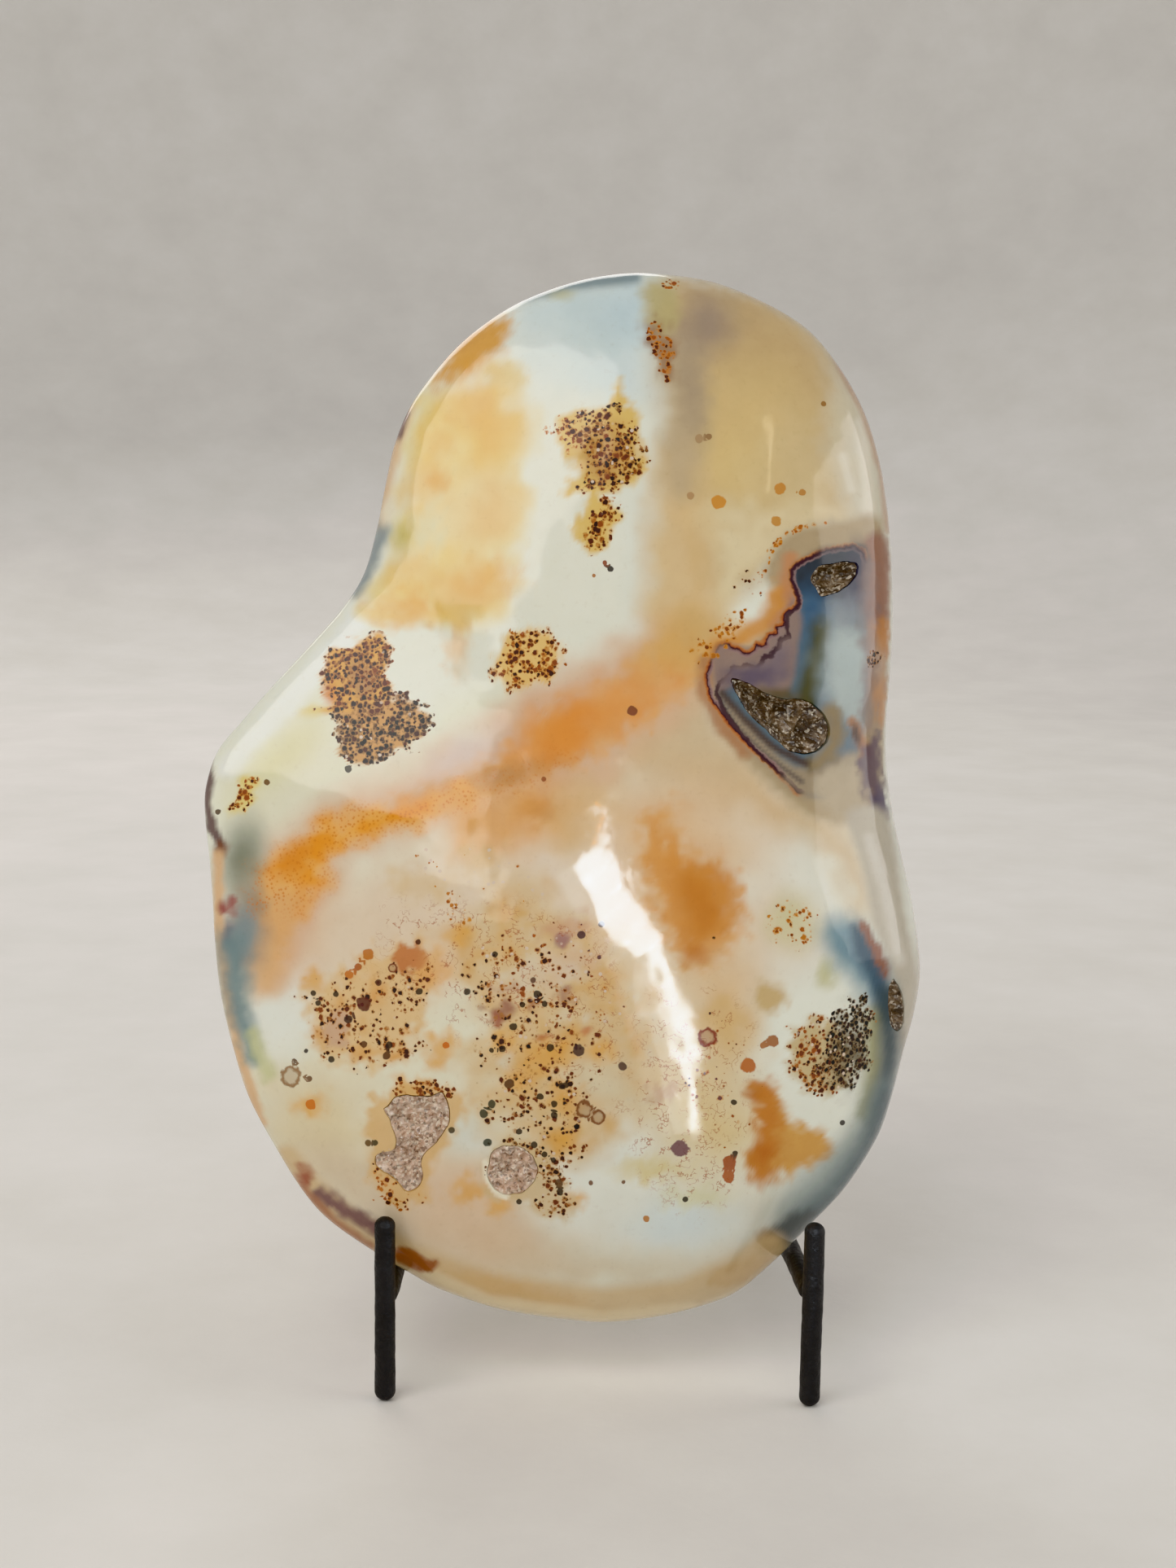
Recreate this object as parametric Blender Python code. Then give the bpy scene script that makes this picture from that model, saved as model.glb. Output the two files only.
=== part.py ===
"""A polished carnelian freeform resting on a small welded rod easel.

Metres, +Z up. The easel's front is towards -Y, and its rods stand on Z = 0.
The stone is one solid. Its open pockets each hold a separate crust of small
crystals, and every rod of the easel is a solid of its own.
"""

import math
import random

import bmesh
import bpy
import numpy as np
from mathutils import Matrix, Vector

MM = 0.001
GAP = 0.0003

# The stone's outline as an eye sees it from EYE_MM in front of its middle, in
# millimetres on the plane through the stone's centre, clockwise from the top.
EYE_MM = 405.8
OUTLINE_MM = [
    (11.2, 90.9), (21.4, 89.6), (30.4, 86.2), (38.8, 81.2), (44.7, 74.3),
    (49.1, 66.4), (51.8, 58.1), (53.3, 49.4), (54.1, 39.6), (54.3, 29.4),
    (53.8, 19.3), (53.1, 10.6), (53.3, 1.9), (54.6, -6.8), (56.2, -14.1),
    (57.8, -21.3), (58.8, -28.6), (59.1, -34.3), (58, -40.9), (56.2, -47.4),
    (54.1, -55.4), (51.4, -63), (45.7, -71.9), (39.3, -78.7), (34.3, -83.8),
    (30.7, -87.1), (27.5, -89.7), (23.8, -91.7), (17, -93.8), (10.5, -95.1),
    (2.8, -95.8), (-5, -95.2), (-12, -94.2), (-17.8, -92.9), (-26.4, -89.9),
    (-31.8, -87), (-38, -83.3), (-45.9, -77.8), (-50.7, -72.5), (-55.7, -64.5),
    (-60.4, -55.7), (-63.3, -46.5), (-65.4, -37.4), (-66.4, -28.6), (-66.9, -19.9),
    (-67.5, -12.6), (-68.2, -5.4), (-68, -0.3), (-65.9, 5.9), (-61.5, 11.3),
    (-56.2, 17.4), (-50.2, 23.9), (-43.8, 31.2), (-39.9, 37.4), (-37.6, 45.4),
    (-36.2, 52.6), (-34.6, 59.9), (-32.2, 66.1), (-28.8, 71.4), (-23.6, 77.5),
    (-17.8, 82.3), (-11.2, 86.2), (-3.3, 89.1), (4, 90.6),
]

# How the stone's body is rounded between its face, its back and its edge.
STAR_CENTRE_MM = (-4.0, -8.0)
FACE_POWER = 2.35
BACK_POWER = 2.6
FACE_RISE_MM = 15.5
BACK_RISE_MM = 15.0
EDGE_SWAY_MM = 8.0
EDGE_SWAY_ANGLE = math.radians(-175)
STONE_CELLS = 21

# Swells of the face and the back: centre u, v, radius and height, all in mm.
FACE_SWELLS_MM = [
    (-2, -42, 36, 7.5),
    (14, 50, 28, 2.5),
    (-4, 8, 22, -2.0),
]
BACK_SWELLS_MM = [
    (-6, -38, 40, 5.0),
    (10, 48, 30, 1.0),
    (36, -28, 18, 1.9),
]

# The pose of the stone on the easel.
LEAN = math.radians(10)
ROLL = math.radians(0.8)
STONE_CENTRE = Vector((-0.0031, 0.0268, 0.1047))

# The open pockets: centre u, v, half length, half width and depth in mm, then
# the turn of the long side from +u in degrees, and the seed of its ragged rim.
POCKETS = {
    "upper_pocket_druzy": (43.8, 37.3, 5.1, 3.3, 4.0, 24, 3),
    "long_pocket_druzy": (34.8, 11.4, 9.4, 3.8, 4.6, -37, 5),
    "edge_pocket_druzy": (55.4, -39.2, 5.3, 2.2, 2.8, 84, 8),
    "lower_left_druzy": (-31.2, -63.4, 9.8, 5.5, 2.4, 66, 13),
    "lower_middle_druzy": (-12.0, -69.1, 6.3, 4.5, 2.4, -24, 21),
}
POCKET_CORNERS = 20
CRYSTAL_SHARE = 0.34

# The easel's rods.
ROD_RADIUS = 0.0020
ROD_SIDES = 14
TIP_ROUND = 0.0012
POST_HEIGHT = 0.0334
EASEL_DEPTH = 0.076
UPRIGHT_FOOT_Y = 0.0324
UPRIGHT_LENGTH = 0.104
CROSS_BAR_HEIGHT = 0.062
REAR_BAR_HEIGHT = 0.0184

# Each side's front x, back x and rail height. The bending was done by hand, so
# the two sides differ.
SIDES = {
    "left": (-0.0370, -0.0350, 0.0178),
    "right": (0.0370, 0.0302, 0.0197),
}


def clear_scene():
    for obj in list(bpy.data.objects):
        bpy.data.objects.remove(obj, do_unlink=True)


def material(name, colour, roughness, metallic=0.0):
    """A plain surface of one colour, for a sub-part."""
    made = bpy.data.materials.new(name)
    made.use_nodes = True
    shader = made.node_tree.nodes["Principled BSDF"]
    shader.inputs["Base Color"].default_value = (*colour, 1.0)
    shader.inputs["Roughness"].default_value = roughness
    shader.inputs["Metallic"].default_value = metallic
    return made


def add_object(name, mesh, surface):
    """An object of this name in the scene, wearing one material."""
    mesh.materials.clear()
    mesh.materials.append(surface)
    obj = bpy.data.objects.new(name, mesh)
    bpy.context.scene.collection.objects.link(obj)
    return obj


def closed_spline(points, steps=16):
    """A smooth closed curve through the points."""
    points = np.asarray(points, float)
    before, after, next_after = (np.roll(points, k, axis=0) for k in (1, -1, -2))
    t = (np.arange(steps) / steps)[None, :, None]
    a, b, c, d = (p[:, None, :] for p in (before, points, after, next_after))
    curve = 0.5 * (
        2 * b + (c - a) * t + (2 * a - 5 * b + 4 * c - d) * t**2
        + (3 * b - a - 3 * c + d) * t**3
    )
    return curve.reshape(-1, 2)


def outline_table():
    """Angle and reach of the outline about the star centre, sorted by angle."""
    curve = closed_spline(OUTLINE_MM) - np.array(STAR_CENTRE_MM)
    angle = np.arctan2(curve[:, 1], curve[:, 0])
    order = np.argsort(angle)
    return angle[order], np.hypot(curve[:, 0], curve[:, 1])[order]


OUTLINE_ANGLE, OUTLINE_REACH = outline_table()


def swell(u, v, swells):
    """The summed height of soft round swells at u, v."""
    total = np.zeros_like(u)
    for centre_u, centre_v, radius, height in swells:
        square = (u - centre_u) ** 2 + (v - centre_v) ** 2
        total += height * np.exp(-square / (2 * radius**2))
    return total


def stone_surface(direction):
    """Points of the stone in its own frame, in mm, for unit directions.

    u runs to the right, v up the face and w out of the face.
    """
    x, y, z = direction.T
    angle = np.arctan2(y, x)
    tilt = np.arctan2(np.hypot(x, y), z)
    reach = np.interp(angle, OUTLINE_ANGLE, OUTLINE_REACH, period=2 * math.pi)
    power = np.where(z > 0, FACE_POWER, BACK_POWER)
    share = np.sin(tilt) ** (2 / power)
    height = np.abs(np.cos(tilt)) ** (2 / power)
    u = STAR_CENTRE_MM[0] + reach * share * np.cos(angle)
    v = STAR_CENTRE_MM[1] + reach * share * np.sin(angle)
    edge = EDGE_SWAY_MM * np.cos(angle - EDGE_SWAY_ANGLE) * share**2
    face = FACE_RISE_MM + swell(u, v, FACE_SWELLS_MM)
    back = BACK_RISE_MM + swell(u, v, BACK_SWELLS_MM)
    w = np.where(z > 0, edge + (face - edge) * height, edge - (back + edge) * height)
    along_sight = 1 - w / EYE_MM
    return np.column_stack([u * along_sight, v * along_sight, w])


def direction_at(u, v):
    """The unit direction whose point on the face lies at u, v."""
    du, dv = u - STAR_CENTRE_MM[0], v - STAR_CENTRE_MM[1]
    angle = math.atan2(dv, du)
    reach = np.interp(angle, OUTLINE_ANGLE, OUTLINE_REACH, period=2 * math.pi)
    tilt = math.asin(min(1.0, math.hypot(du, dv) / reach) ** (FACE_POWER / 2))
    return np.array([
        math.sin(tilt) * math.cos(angle), math.sin(tilt) * math.sin(angle), math.cos(tilt),
    ])


def stone_matrix():
    """From the stone's own frame to the easel's."""
    right = Vector((1, 0, 0))
    up = Vector((0, math.sin(LEAN), math.cos(LEAN)))
    out = Vector((0, -math.cos(LEAN), math.sin(LEAN)))
    axes = Matrix((right, up, out)).transposed() @ Matrix.Rotation(ROLL, 3, "Z")
    return Matrix.Translation(STONE_CENTRE) @ axes.to_4x4()


def stone_mesh():
    """The stone as a cube of cells, blown up to its surface."""
    shape = bmesh.new()
    bmesh.ops.create_cube(shape, size=2)
    bmesh.ops.subdivide_edges(
        shape, edges=shape.edges[:], cuts=STONE_CELLS - 1, use_grid_fill=True
    )
    corners = np.array([vert.co for vert in shape.verts])
    corners = np.tan(corners * math.pi / 4)
    corners /= np.linalg.norm(corners, axis=1)[:, None]
    for vert, point in zip(shape.verts, stone_surface(corners)):
        vert.co = Vector(point) * MM
    bmesh.ops.recalc_face_normals(shape, faces=shape.faces[:])
    mesh = bpy.data.meshes.new("carnelian_stone")
    shape.to_mesh(mesh)
    shape.free()
    mesh.shade_smooth()
    return mesh


def pocket_frame(u, v, turn):
    """A frame on the face at u, v: its Z is the outward normal, its X the long side."""
    near = direction_at(u, v)
    step = 0.01
    spots = np.array([
        near,
        direction_at(u + step, v),
        direction_at(u, v + step),
    ])
    here, right, above = stone_surface(spots)
    normal = Vector(np.cross(right - here, above - here)).normalized()
    along = Vector((math.cos(math.radians(turn)), math.sin(math.radians(turn)), 0))
    along = (along - normal * along.dot(normal)).normalized()
    frame = Matrix((along, normal.cross(along), normal)).transposed().to_4x4()
    return Matrix.Translation(Vector(here) * MM) @ frame


def ragged_rim(seed):
    """Shares of a pocket's reach around its rim, which is a worn, ragged oval."""
    chance = random.Random(seed)
    waves = [(k, chance.uniform(0.03, 0.10), chance.uniform(0, math.tau)) for k in (2, 3, 5)]
    shares = []
    for corner in range(POCKET_CORNERS):
        angle = math.tau * corner / POCKET_CORNERS
        shares.append(1 + sum(size * math.sin(k * angle + phase) for k, size, phase in waves))
    return shares


def stacked_mesh(name, rings):
    """A closed solid from rings of points, bottom to top, each end filled flat."""
    shape = bmesh.new()
    loops = [[shape.verts.new(point) for point in ring] for ring in rings]
    count = len(loops[0])
    for low, high in zip(loops, loops[1:]):
        for k in range(count):
            nxt = (k + 1) % count
            shape.faces.new((low[k], low[nxt], high[nxt], high[k]))
    for loop in (loops[0], loops[-1]):
        centre = shape.verts.new(sum((vert.co for vert in loop), Vector()) / count)
        for k in range(count):
            shape.faces.new((loop[k], loop[(k + 1) % count], centre))
    bmesh.ops.recalc_face_normals(shape, faces=shape.faces[:])
    mesh = bpy.data.meshes.new(name)
    shape.to_mesh(mesh)
    shape.free()
    return mesh


def ring(half_length, half_width, rim, share, height):
    """One ring of a pocket at a share of its reach, at a height above the face."""
    points = []
    for corner, ragged in enumerate(rim):
        angle = math.tau * corner / POCKET_CORNERS
        reach = ragged * share
        points.append(Vector((
            half_length * reach * math.cos(angle),
            half_width * reach * math.sin(angle),
            height,
        )))
    return points


def pocket_cutter(name, spec):
    """The hollow of a pocket, reaching out past the face."""
    u, v, half_length, half_width, depth, turn, seed = spec
    rim = ragged_rim(seed)
    rings = [
        ring(half_length * MM, half_width * MM, rim, share, height * depth * MM)
        for share, height in ((0.45, -1.0), (0.8, -0.72), (0.97, -0.3), (1.03, 0.1), (1.1, 1.2))
    ]
    cutter = bpy.data.objects.new(name + "_cutter", stacked_mesh(name + "_cutter", rings))
    bpy.context.scene.collection.objects.link(cutter)
    cutter.hide_render = True
    cutter.display_type = "WIRE"
    cutter.matrix_local = pocket_frame(u, v, turn)
    return cutter


def crust_mesh(name, spec):
    """The crystal lining of a pocket: a bowl with pointed crystals on its open side."""
    half_length, half_width, depth, seed = spec[2] * MM, spec[3] * MM, spec[4] * MM, spec[6]
    rim = ragged_rim(seed)
    chance = random.Random(seed + 100)
    slack = GAP / half_width
    rings = [
        ring(half_length, half_width, rim, share - slack, height * depth + GAP)
        for share, height in ((0.4, -1.0), (0.76, -0.74), (0.93, -0.38))
    ]
    for share, height in ((0.9, -0.16), (0.72, -0.42), (0.5, -0.56), (0.28, -0.6)):
        tips = ring(half_length, half_width, rim, share - slack, height * depth)
        for corner, point in enumerate(tips):
            if (corner + len(rings)) % 2:
                point.z += CRYSTAL_SHARE * depth * chance.uniform(0.3, 1.0)
        rings.append(tips)
    return stacked_mesh(name, rings)


def build_stone(surfaces, seat):
    """The stone with its pockets cut, and the crust inside each pocket."""
    stone = add_object("carnelian_stone", stone_mesh(), surfaces["agate"])
    stone.parent = seat
    for name, spec in POCKETS.items():
        cutter = pocket_cutter(name, spec)
        cutter.parent = seat
        cut = stone.modifiers.new(name, "BOOLEAN")
        cut.operation = "DIFFERENCE"
        cut.object = cutter
        crust = add_object(name, crust_mesh(name, spec), surfaces["druzy"])
        crust.parent = seat
        crust.matrix_local = pocket_frame(spec[0], spec[1], spec[5])


def rod(name, start, end, surface):
    """A straight rod with rounded ends, from one end to the other."""
    start, end = Vector(start), Vector(end)
    along = end - start
    shape = bmesh.new()
    bmesh.ops.create_cone(
        shape, cap_ends=True, segments=ROD_SIDES, radius1=ROD_RADIUS, radius2=ROD_RADIUS,
        depth=along.length,
    )
    rims = [edge for edge in shape.edges if abs(edge.verts[0].co.z - edge.verts[1].co.z) < GAP]
    bmesh.ops.bevel(
        shape, geom=rims, offset=TIP_ROUND, segments=3, profile=0.5, affect="EDGES"
    )
    mesh = bpy.data.meshes.new(name)
    shape.to_mesh(mesh)
    shape.free()
    mesh.shade_smooth()
    obj = add_object(name, mesh, surface)
    obj.rotation_mode = "QUATERNION"
    obj.rotation_quaternion = along.to_track_quat("Z", "Y")
    obj.location = (start + end) / 2
    return obj


def on_rail(side, y):
    """A side's x at this depth."""
    front_x, back_x, _ = SIDES[side]
    return front_x + (back_x - front_x) * y / EASEL_DEPTH


def cross_bar(name, y, height, reach, steel):
    """A level bar between the two sides, running past each by this much."""
    low, high = on_rail("left", y) - reach, on_rail("right", y) + reach
    return rod(name, (low, y, height), (high, y, height), steel)


def build_easel(steel, origin):
    """Two short posts in front, two rails, two rear feet and a leaning ladder back."""
    rods = []
    lean = Vector((0, math.sin(LEAN), math.cos(LEAN)))
    clear = ROD_RADIUS + GAP
    for side, (front_x, back_x, height) in SIDES.items():
        post_top = (front_x, 0, POST_HEIGHT)
        foot_top = (back_x, EASEL_DEPTH, height + 2 * ROD_RADIUS)
        rail_start = (on_rail(side, clear), clear, height)
        rail_end = (on_rail(side, EASEL_DEPTH - clear), EASEL_DEPTH - clear, height)
        upright_foot = Vector((on_rail(side, UPRIGHT_FOOT_Y), UPRIGHT_FOOT_Y, height + clear + GAP))
        upright_top = upright_foot + lean * UPRIGHT_LENGTH
        rods.append(rod(f"front_post_{side}", (front_x, 0, 0), post_top, steel))
        rods.append(rod(f"rail_{side}", rail_start, rail_end, steel))
        rods.append(rod(f"rear_foot_{side}", (back_x, EASEL_DEPTH, 0), foot_top, steel))
        rods.append(rod(f"back_upright_{side}", upright_foot, upright_top, steel))
    rods.append(cross_bar("rear_cross_bar", EASEL_DEPTH, REAR_BAR_HEIGHT, -clear, steel))
    rise = CROSS_BAR_HEIGHT - REAR_BAR_HEIGHT
    bar_y = UPRIGHT_FOOT_Y + (rise * math.sin(LEAN) + 2 * ROD_RADIUS + GAP) / math.cos(LEAN)
    rods.append(cross_bar("back_cross_bar", bar_y, CROSS_BAR_HEIGHT, 0.004, steel))
    for piece in rods:
        piece.parent = origin


def centre_on_base(origin):
    """Moves everything so that the origin is the middle of the box's underside."""
    bpy.context.view_layer.update()
    graph = bpy.context.evaluated_depsgraph_get()
    corners = []
    for obj in bpy.context.scene.objects:
        if obj.type == "MESH" and not obj.hide_render:
            solid = obj.evaluated_get(graph)
            corners += [solid.matrix_world @ vert.co for vert in solid.data.vertices]
    low = [min(corner[axis] for corner in corners) for axis in range(3)]
    high = [max(corner[axis] for corner in corners) for axis in range(3)]
    origin.location = (-(low[0] + high[0]) / 2, -(low[1] + high[1]) / 2, -low[2])


def main():
    clear_scene()
    surfaces = {
        "agate": material("polished_agate", (0.80, 0.62, 0.38), 0.08),
        "druzy": material("quartz_druzy", (0.55, 0.44, 0.33), 0.35),
        "steel": material("black_coated_steel", (0.015, 0.015, 0.016), 0.45, 0.0),
    }
    origin = bpy.data.objects.new("origin", None)
    seat = bpy.data.objects.new("stone_seat", None)
    for empty in (origin, seat):
        bpy.context.scene.collection.objects.link(empty)
    seat.parent = origin
    seat.matrix_local = stone_matrix()
    build_stone(surfaces, seat)
    build_easel(surfaces["steel"], origin)
    centre_on_base(origin)


main()
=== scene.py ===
"""The looks of a polished carnelian freeform on its small welded rod easel.

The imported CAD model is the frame. The stone, its crusts of crystals and the
easel's rods are dense pieces here, each in the place of its CAD node. Markings
are laid over the stone as soft stains, and its material adds specks and bands.
"""

import math
import random
from collections import namedtuple

import bpy
import numpy as np
from mathutils import Matrix, Vector


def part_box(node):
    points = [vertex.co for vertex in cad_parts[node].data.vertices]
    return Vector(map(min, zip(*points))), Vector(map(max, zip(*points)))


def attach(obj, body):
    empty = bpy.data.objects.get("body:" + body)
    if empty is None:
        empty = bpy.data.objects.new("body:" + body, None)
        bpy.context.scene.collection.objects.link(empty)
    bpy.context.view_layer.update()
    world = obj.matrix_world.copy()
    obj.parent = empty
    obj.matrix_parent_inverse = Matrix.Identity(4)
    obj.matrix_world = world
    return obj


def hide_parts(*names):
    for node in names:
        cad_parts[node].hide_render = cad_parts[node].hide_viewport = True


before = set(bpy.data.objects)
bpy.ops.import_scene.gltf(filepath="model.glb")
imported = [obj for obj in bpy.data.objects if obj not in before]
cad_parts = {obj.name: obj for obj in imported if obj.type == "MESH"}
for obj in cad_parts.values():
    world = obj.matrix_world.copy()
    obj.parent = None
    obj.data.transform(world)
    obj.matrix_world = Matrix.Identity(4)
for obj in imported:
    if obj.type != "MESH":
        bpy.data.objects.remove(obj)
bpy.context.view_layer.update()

MM = 0.001

# How the photograph lies on the plane through the stone's centre, square to sight.
PHOTO_SIZE = (1445, 1926)
PHOTO_MIDDLE = (722.5, 963)
PX_PER_MM = 6.9
EYE_MM = 405.8
SENSOR = 36
NEAR_CLIP = 0.02
FAR_CLIP = 20

# The stone's outline on that plane, in millimetres, clockwise from the top.
OUTLINE_MM = [
    (11.2, 90.9), (21.4, 89.6), (30.4, 86.2), (38.8, 81.2), (44.7, 74.3),
    (49.1, 66.4), (51.8, 58.1), (53.3, 49.4), (54.1, 39.6), (54.3, 29.4),
    (53.8, 19.3), (53.1, 10.6), (53.3, 1.9), (54.6, -6.8), (56.2, -14.1),
    (57.8, -21.3), (58.8, -28.6), (59.1, -34.3), (58, -40.9), (56.2, -47.4),
    (54.1, -55.4), (51.4, -63), (45.7, -71.9), (39.3, -78.7), (34.3, -83.8),
    (30.7, -87.1), (27.5, -89.7), (23.8, -91.7), (17, -93.8), (10.5, -95.1),
    (2.8, -95.8), (-5, -95.2), (-12, -94.2), (-17.8, -92.9), (-26.4, -89.9),
    (-31.8, -87), (-38, -83.3), (-45.9, -77.8), (-50.7, -72.5), (-55.7, -64.5),
    (-60.4, -55.7), (-63.3, -46.5), (-65.4, -37.4), (-66.4, -28.6), (-66.9, -19.9),
    (-67.5, -12.6), (-68.2, -5.4), (-68, -0.3), (-65.9, 5.9), (-61.5, 11.3),
    (-56.2, 17.4), (-50.2, 23.9), (-43.8, 31.2), (-39.9, 37.4), (-37.6, 45.4),
    (-36.2, 52.6), (-34.6, 59.9), (-32.2, 66.1), (-28.8, 71.4), (-23.6, 77.5),
    (-17.8, 82.3), (-11.2, 86.2), (-3.3, 89.1), (4, 90.6),
]

# How the body is rounded between face, back and edge, as in the CAD part.
STAR_CENTRE_MM = (-4.0, -8.0)
FACE_POWER = 2.35
BACK_POWER = 2.6
FACE_RISE_MM = 15.5
BACK_RISE_MM = 15.0
EDGE_SWAY_MM = 8.0
EDGE_SWAY_ANGLE = math.radians(-175)
FACE_SWELLS_MM = [(-2, -42, 36, 7.5), (14, 50, 28, 2.5), (-4, 8, 22, -2.0)]
BACK_SWELLS_MM = [(-6, -38, 40, 5.0), (10, 48, 30, 1.0), (36, -28, 18, 1.9)]
LEAN = math.radians(10)
ROLL = math.radians(0.8)

# The stone's mesh: a fine grid over the face and round the edge, a coarse one behind.
FINE_ACROSS = 216
FINE_ALONG = 332
FINE_TILT = math.radians(100)
COARSE_TILT = math.radians(104)
HEIGHT_WEIGHT = 0.15
GRID_SHAPE = (64, 97)
TILT_STEPS = 4001
SHARP_EDGE = math.radians(40)

# How far apart the face is sampled for its normals, and the widest share that it has.
NORMAL_STEP_PX = 1.5
FACE_LIMIT = 0.999

# The open pockets: the rim in photo pixels, the depth in mm and the crystals' size.
POCKETS = {
    "upper_pocket_druzy": (
        [(996, 712), (1001, 700), (1015, 693), (1035, 690), (1052, 690), (1055, 700), (1050, 711),
         (1040, 722), (1024, 731), (1008, 732), (1002, 722)],
        3.4, 1.5,
    ),
    "long_pocket_druzy": (
        [(897, 837), (908, 833), (925, 842), (944, 853), (966, 858), (990, 860), (1010, 872),
         (1020, 893), (1017, 912), (1000, 925), (982, 927), (962, 916), (938, 896), (912, 866)],
        3.8, 1.8,
    ),
    "edge_pocket_druzy": (
        [(1098, 1203), (1105, 1212), (1111, 1232), (1110, 1256), (1103, 1268), (1095, 1258),
         (1091, 1236), (1092, 1215)],
        2.2, 1.0,
    ),
    "lower_left_druzy": (
        [(474, 1358), (491, 1345), (526, 1345), (543, 1341), (552, 1358), (552, 1381),
         (536, 1403), (520, 1423), (517, 1455), (500, 1465), (484, 1449), (461, 1433),
         (465, 1416), (484, 1410), (484, 1390), (471, 1364)],
        1.3, 0.9,
    ),
    "lower_middle_druzy": (
        [(600, 1425), (612, 1410), (638, 1408), (655, 1420), (662, 1440), (650, 1460),
         (630, 1469), (608, 1462), (598, 1446)],
        1.3, 1.1,
    ),
}


def linear(colour):
    """A display colour of 0 to 255 as scene-linear red, green and blue."""
    share = np.asarray(colour, float) / 255
    return np.where(share <= 0.04045, share / 12.92, ((share + 0.055) / 1.055) ** 2.4)


def smooth(low, high, value):
    """0 below low, 1 above high, and a soft step between."""
    t = np.clip((value - low) / (high - low), 0, 1)
    return t * t * (3 - 2 * t)


def closed_spline(points, steps=16):
    """A smooth closed curve through the points."""
    points = np.asarray(points, float)
    before, after, next_after = (np.roll(points, k, axis=0) for k in (1, -1, -2))
    t = (np.arange(steps) / steps)[None, :, None]
    a, b, c, d = (p[:, None, :] for p in (before, points, after, next_after))
    curve = 0.5 * (
        2 * b + (c - a) * t + (2 * a - 5 * b + 4 * c - d) * t**2
        + (3 * b - a - 3 * c + d) * t**3
    )
    return curve.reshape(-1, 2)


def outline_table():
    """Angle and reach of the outline about the star centre, sorted by angle."""
    curve = closed_spline(OUTLINE_MM) - np.array(STAR_CENTRE_MM)
    angle = np.arctan2(curve[:, 1], curve[:, 0])
    order = np.argsort(angle)
    return angle[order], np.hypot(curve[:, 0], curve[:, 1])[order]


OUTLINE_ANGLE, OUTLINE_REACH = outline_table()


def outline_reach(angle):
    """How far the outline is from the star centre at an angle, in millimetres."""
    return np.interp(angle, OUTLINE_ANGLE, OUTLINE_REACH, period=2 * math.pi)


def swell(u, v, swells):
    """The summed height of soft round swells at u, v."""
    total = np.zeros_like(u)
    for centre_u, centre_v, radius, height in swells:
        square = (u - centre_u) ** 2 + (v - centre_v) ** 2
        total += height * np.exp(-square / (2 * radius**2))
    return total


def profile(tilt):
    """Share of the outline's reach, and share of the height, at a tilt from the face."""
    power = np.where(tilt < math.pi / 2, FACE_POWER, BACK_POWER)
    return np.sin(tilt) ** (2 / power), np.abs(np.cos(tilt)) ** (2 / power)


def stone_points(angle, tilt):
    """Points of the stone in its own frame, in mm: u right, v up the face, w out of it."""
    reach = outline_reach(angle)
    share, height = profile(tilt)
    u = STAR_CENTRE_MM[0] + reach * share * np.cos(angle)
    v = STAR_CENTRE_MM[1] + reach * share * np.sin(angle)
    edge = EDGE_SWAY_MM * np.cos(angle - EDGE_SWAY_ANGLE) * share**2
    face = FACE_RISE_MM + swell(u, v, FACE_SWELLS_MM)
    back = BACK_RISE_MM + swell(u, v, BACK_SWELLS_MM)
    w = np.where(tilt < math.pi / 2, edge + (face - edge) * height, edge - (back + edge) * height)
    along_sight = 1 - w / EYE_MM
    return np.column_stack([u * along_sight, v * along_sight, w])


def face_points(spots):
    """Points on the stone's face seen at these photo pixels."""
    spots = np.asarray(spots, float)
    du = (spots[:, 0] - PHOTO_MIDDLE[0]) / PX_PER_MM - STAR_CENTRE_MM[0]
    dv = (PHOTO_MIDDLE[1] - spots[:, 1]) / PX_PER_MM - STAR_CENTRE_MM[1]
    angle = np.arctan2(dv, du)
    share = np.minimum(FACE_LIMIT, np.hypot(du, dv) / outline_reach(angle))
    return stone_points(angle, np.arcsin(share ** (FACE_POWER / 2)))


def face_frames(spots):
    """Points on the face at these photo pixels, and the outward normals there."""
    spots = np.asarray(spots, float)
    here = face_points(spots)
    right = face_points(spots + (NORMAL_STEP_PX, 0))
    above = face_points(spots - (0, NORMAL_STEP_PX))
    normals = np.cross(right - here, above - here)
    return here, normals / np.linalg.norm(normals, axis=1)[:, None]


def stone_turn():
    """The turn from the stone's own frame to the world's."""
    right = Vector((1, 0, 0))
    up = Vector((0, math.sin(LEAN), math.cos(LEAN)))
    out = Vector((0, -math.cos(LEAN), math.sin(LEAN)))
    return Matrix((right, up, out)).transposed() @ Matrix.Rotation(ROLL, 3, "Z")


# Vertices and faces of the stone's mesh.


def tilt_table():
    """Tilt from the face's middle to the back's, against the way gone along the profile."""
    tilt = np.linspace(0, math.pi, TILT_STEPS)
    share, height = profile(tilt)
    side = np.sign(np.cos(tilt))
    steps = np.hypot(np.diff(share), HEIGHT_WEIGHT * np.diff(height * side))
    return tilt, np.concatenate([[0], np.cumsum(steps)])


def grid_cap(across, along, tilts_at):
    """A rectangular grid of points wrapped over one side of the stone, row by row."""
    a = np.linspace(-1, 1, across + 1)
    b = np.linspace(-1, 1, along + 1)
    a, b = (part.ravel() for part in np.meshgrid(a, b))
    span = np.maximum(np.abs(a), np.abs(b))
    wide = GRID_SHAPE[0] * np.tan(a * math.pi / 4)
    tall = GRID_SHAPE[1] * np.tan(b * math.pi / 4)
    return stone_points(np.arctan2(tall, wide), tilts_at(span))


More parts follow.
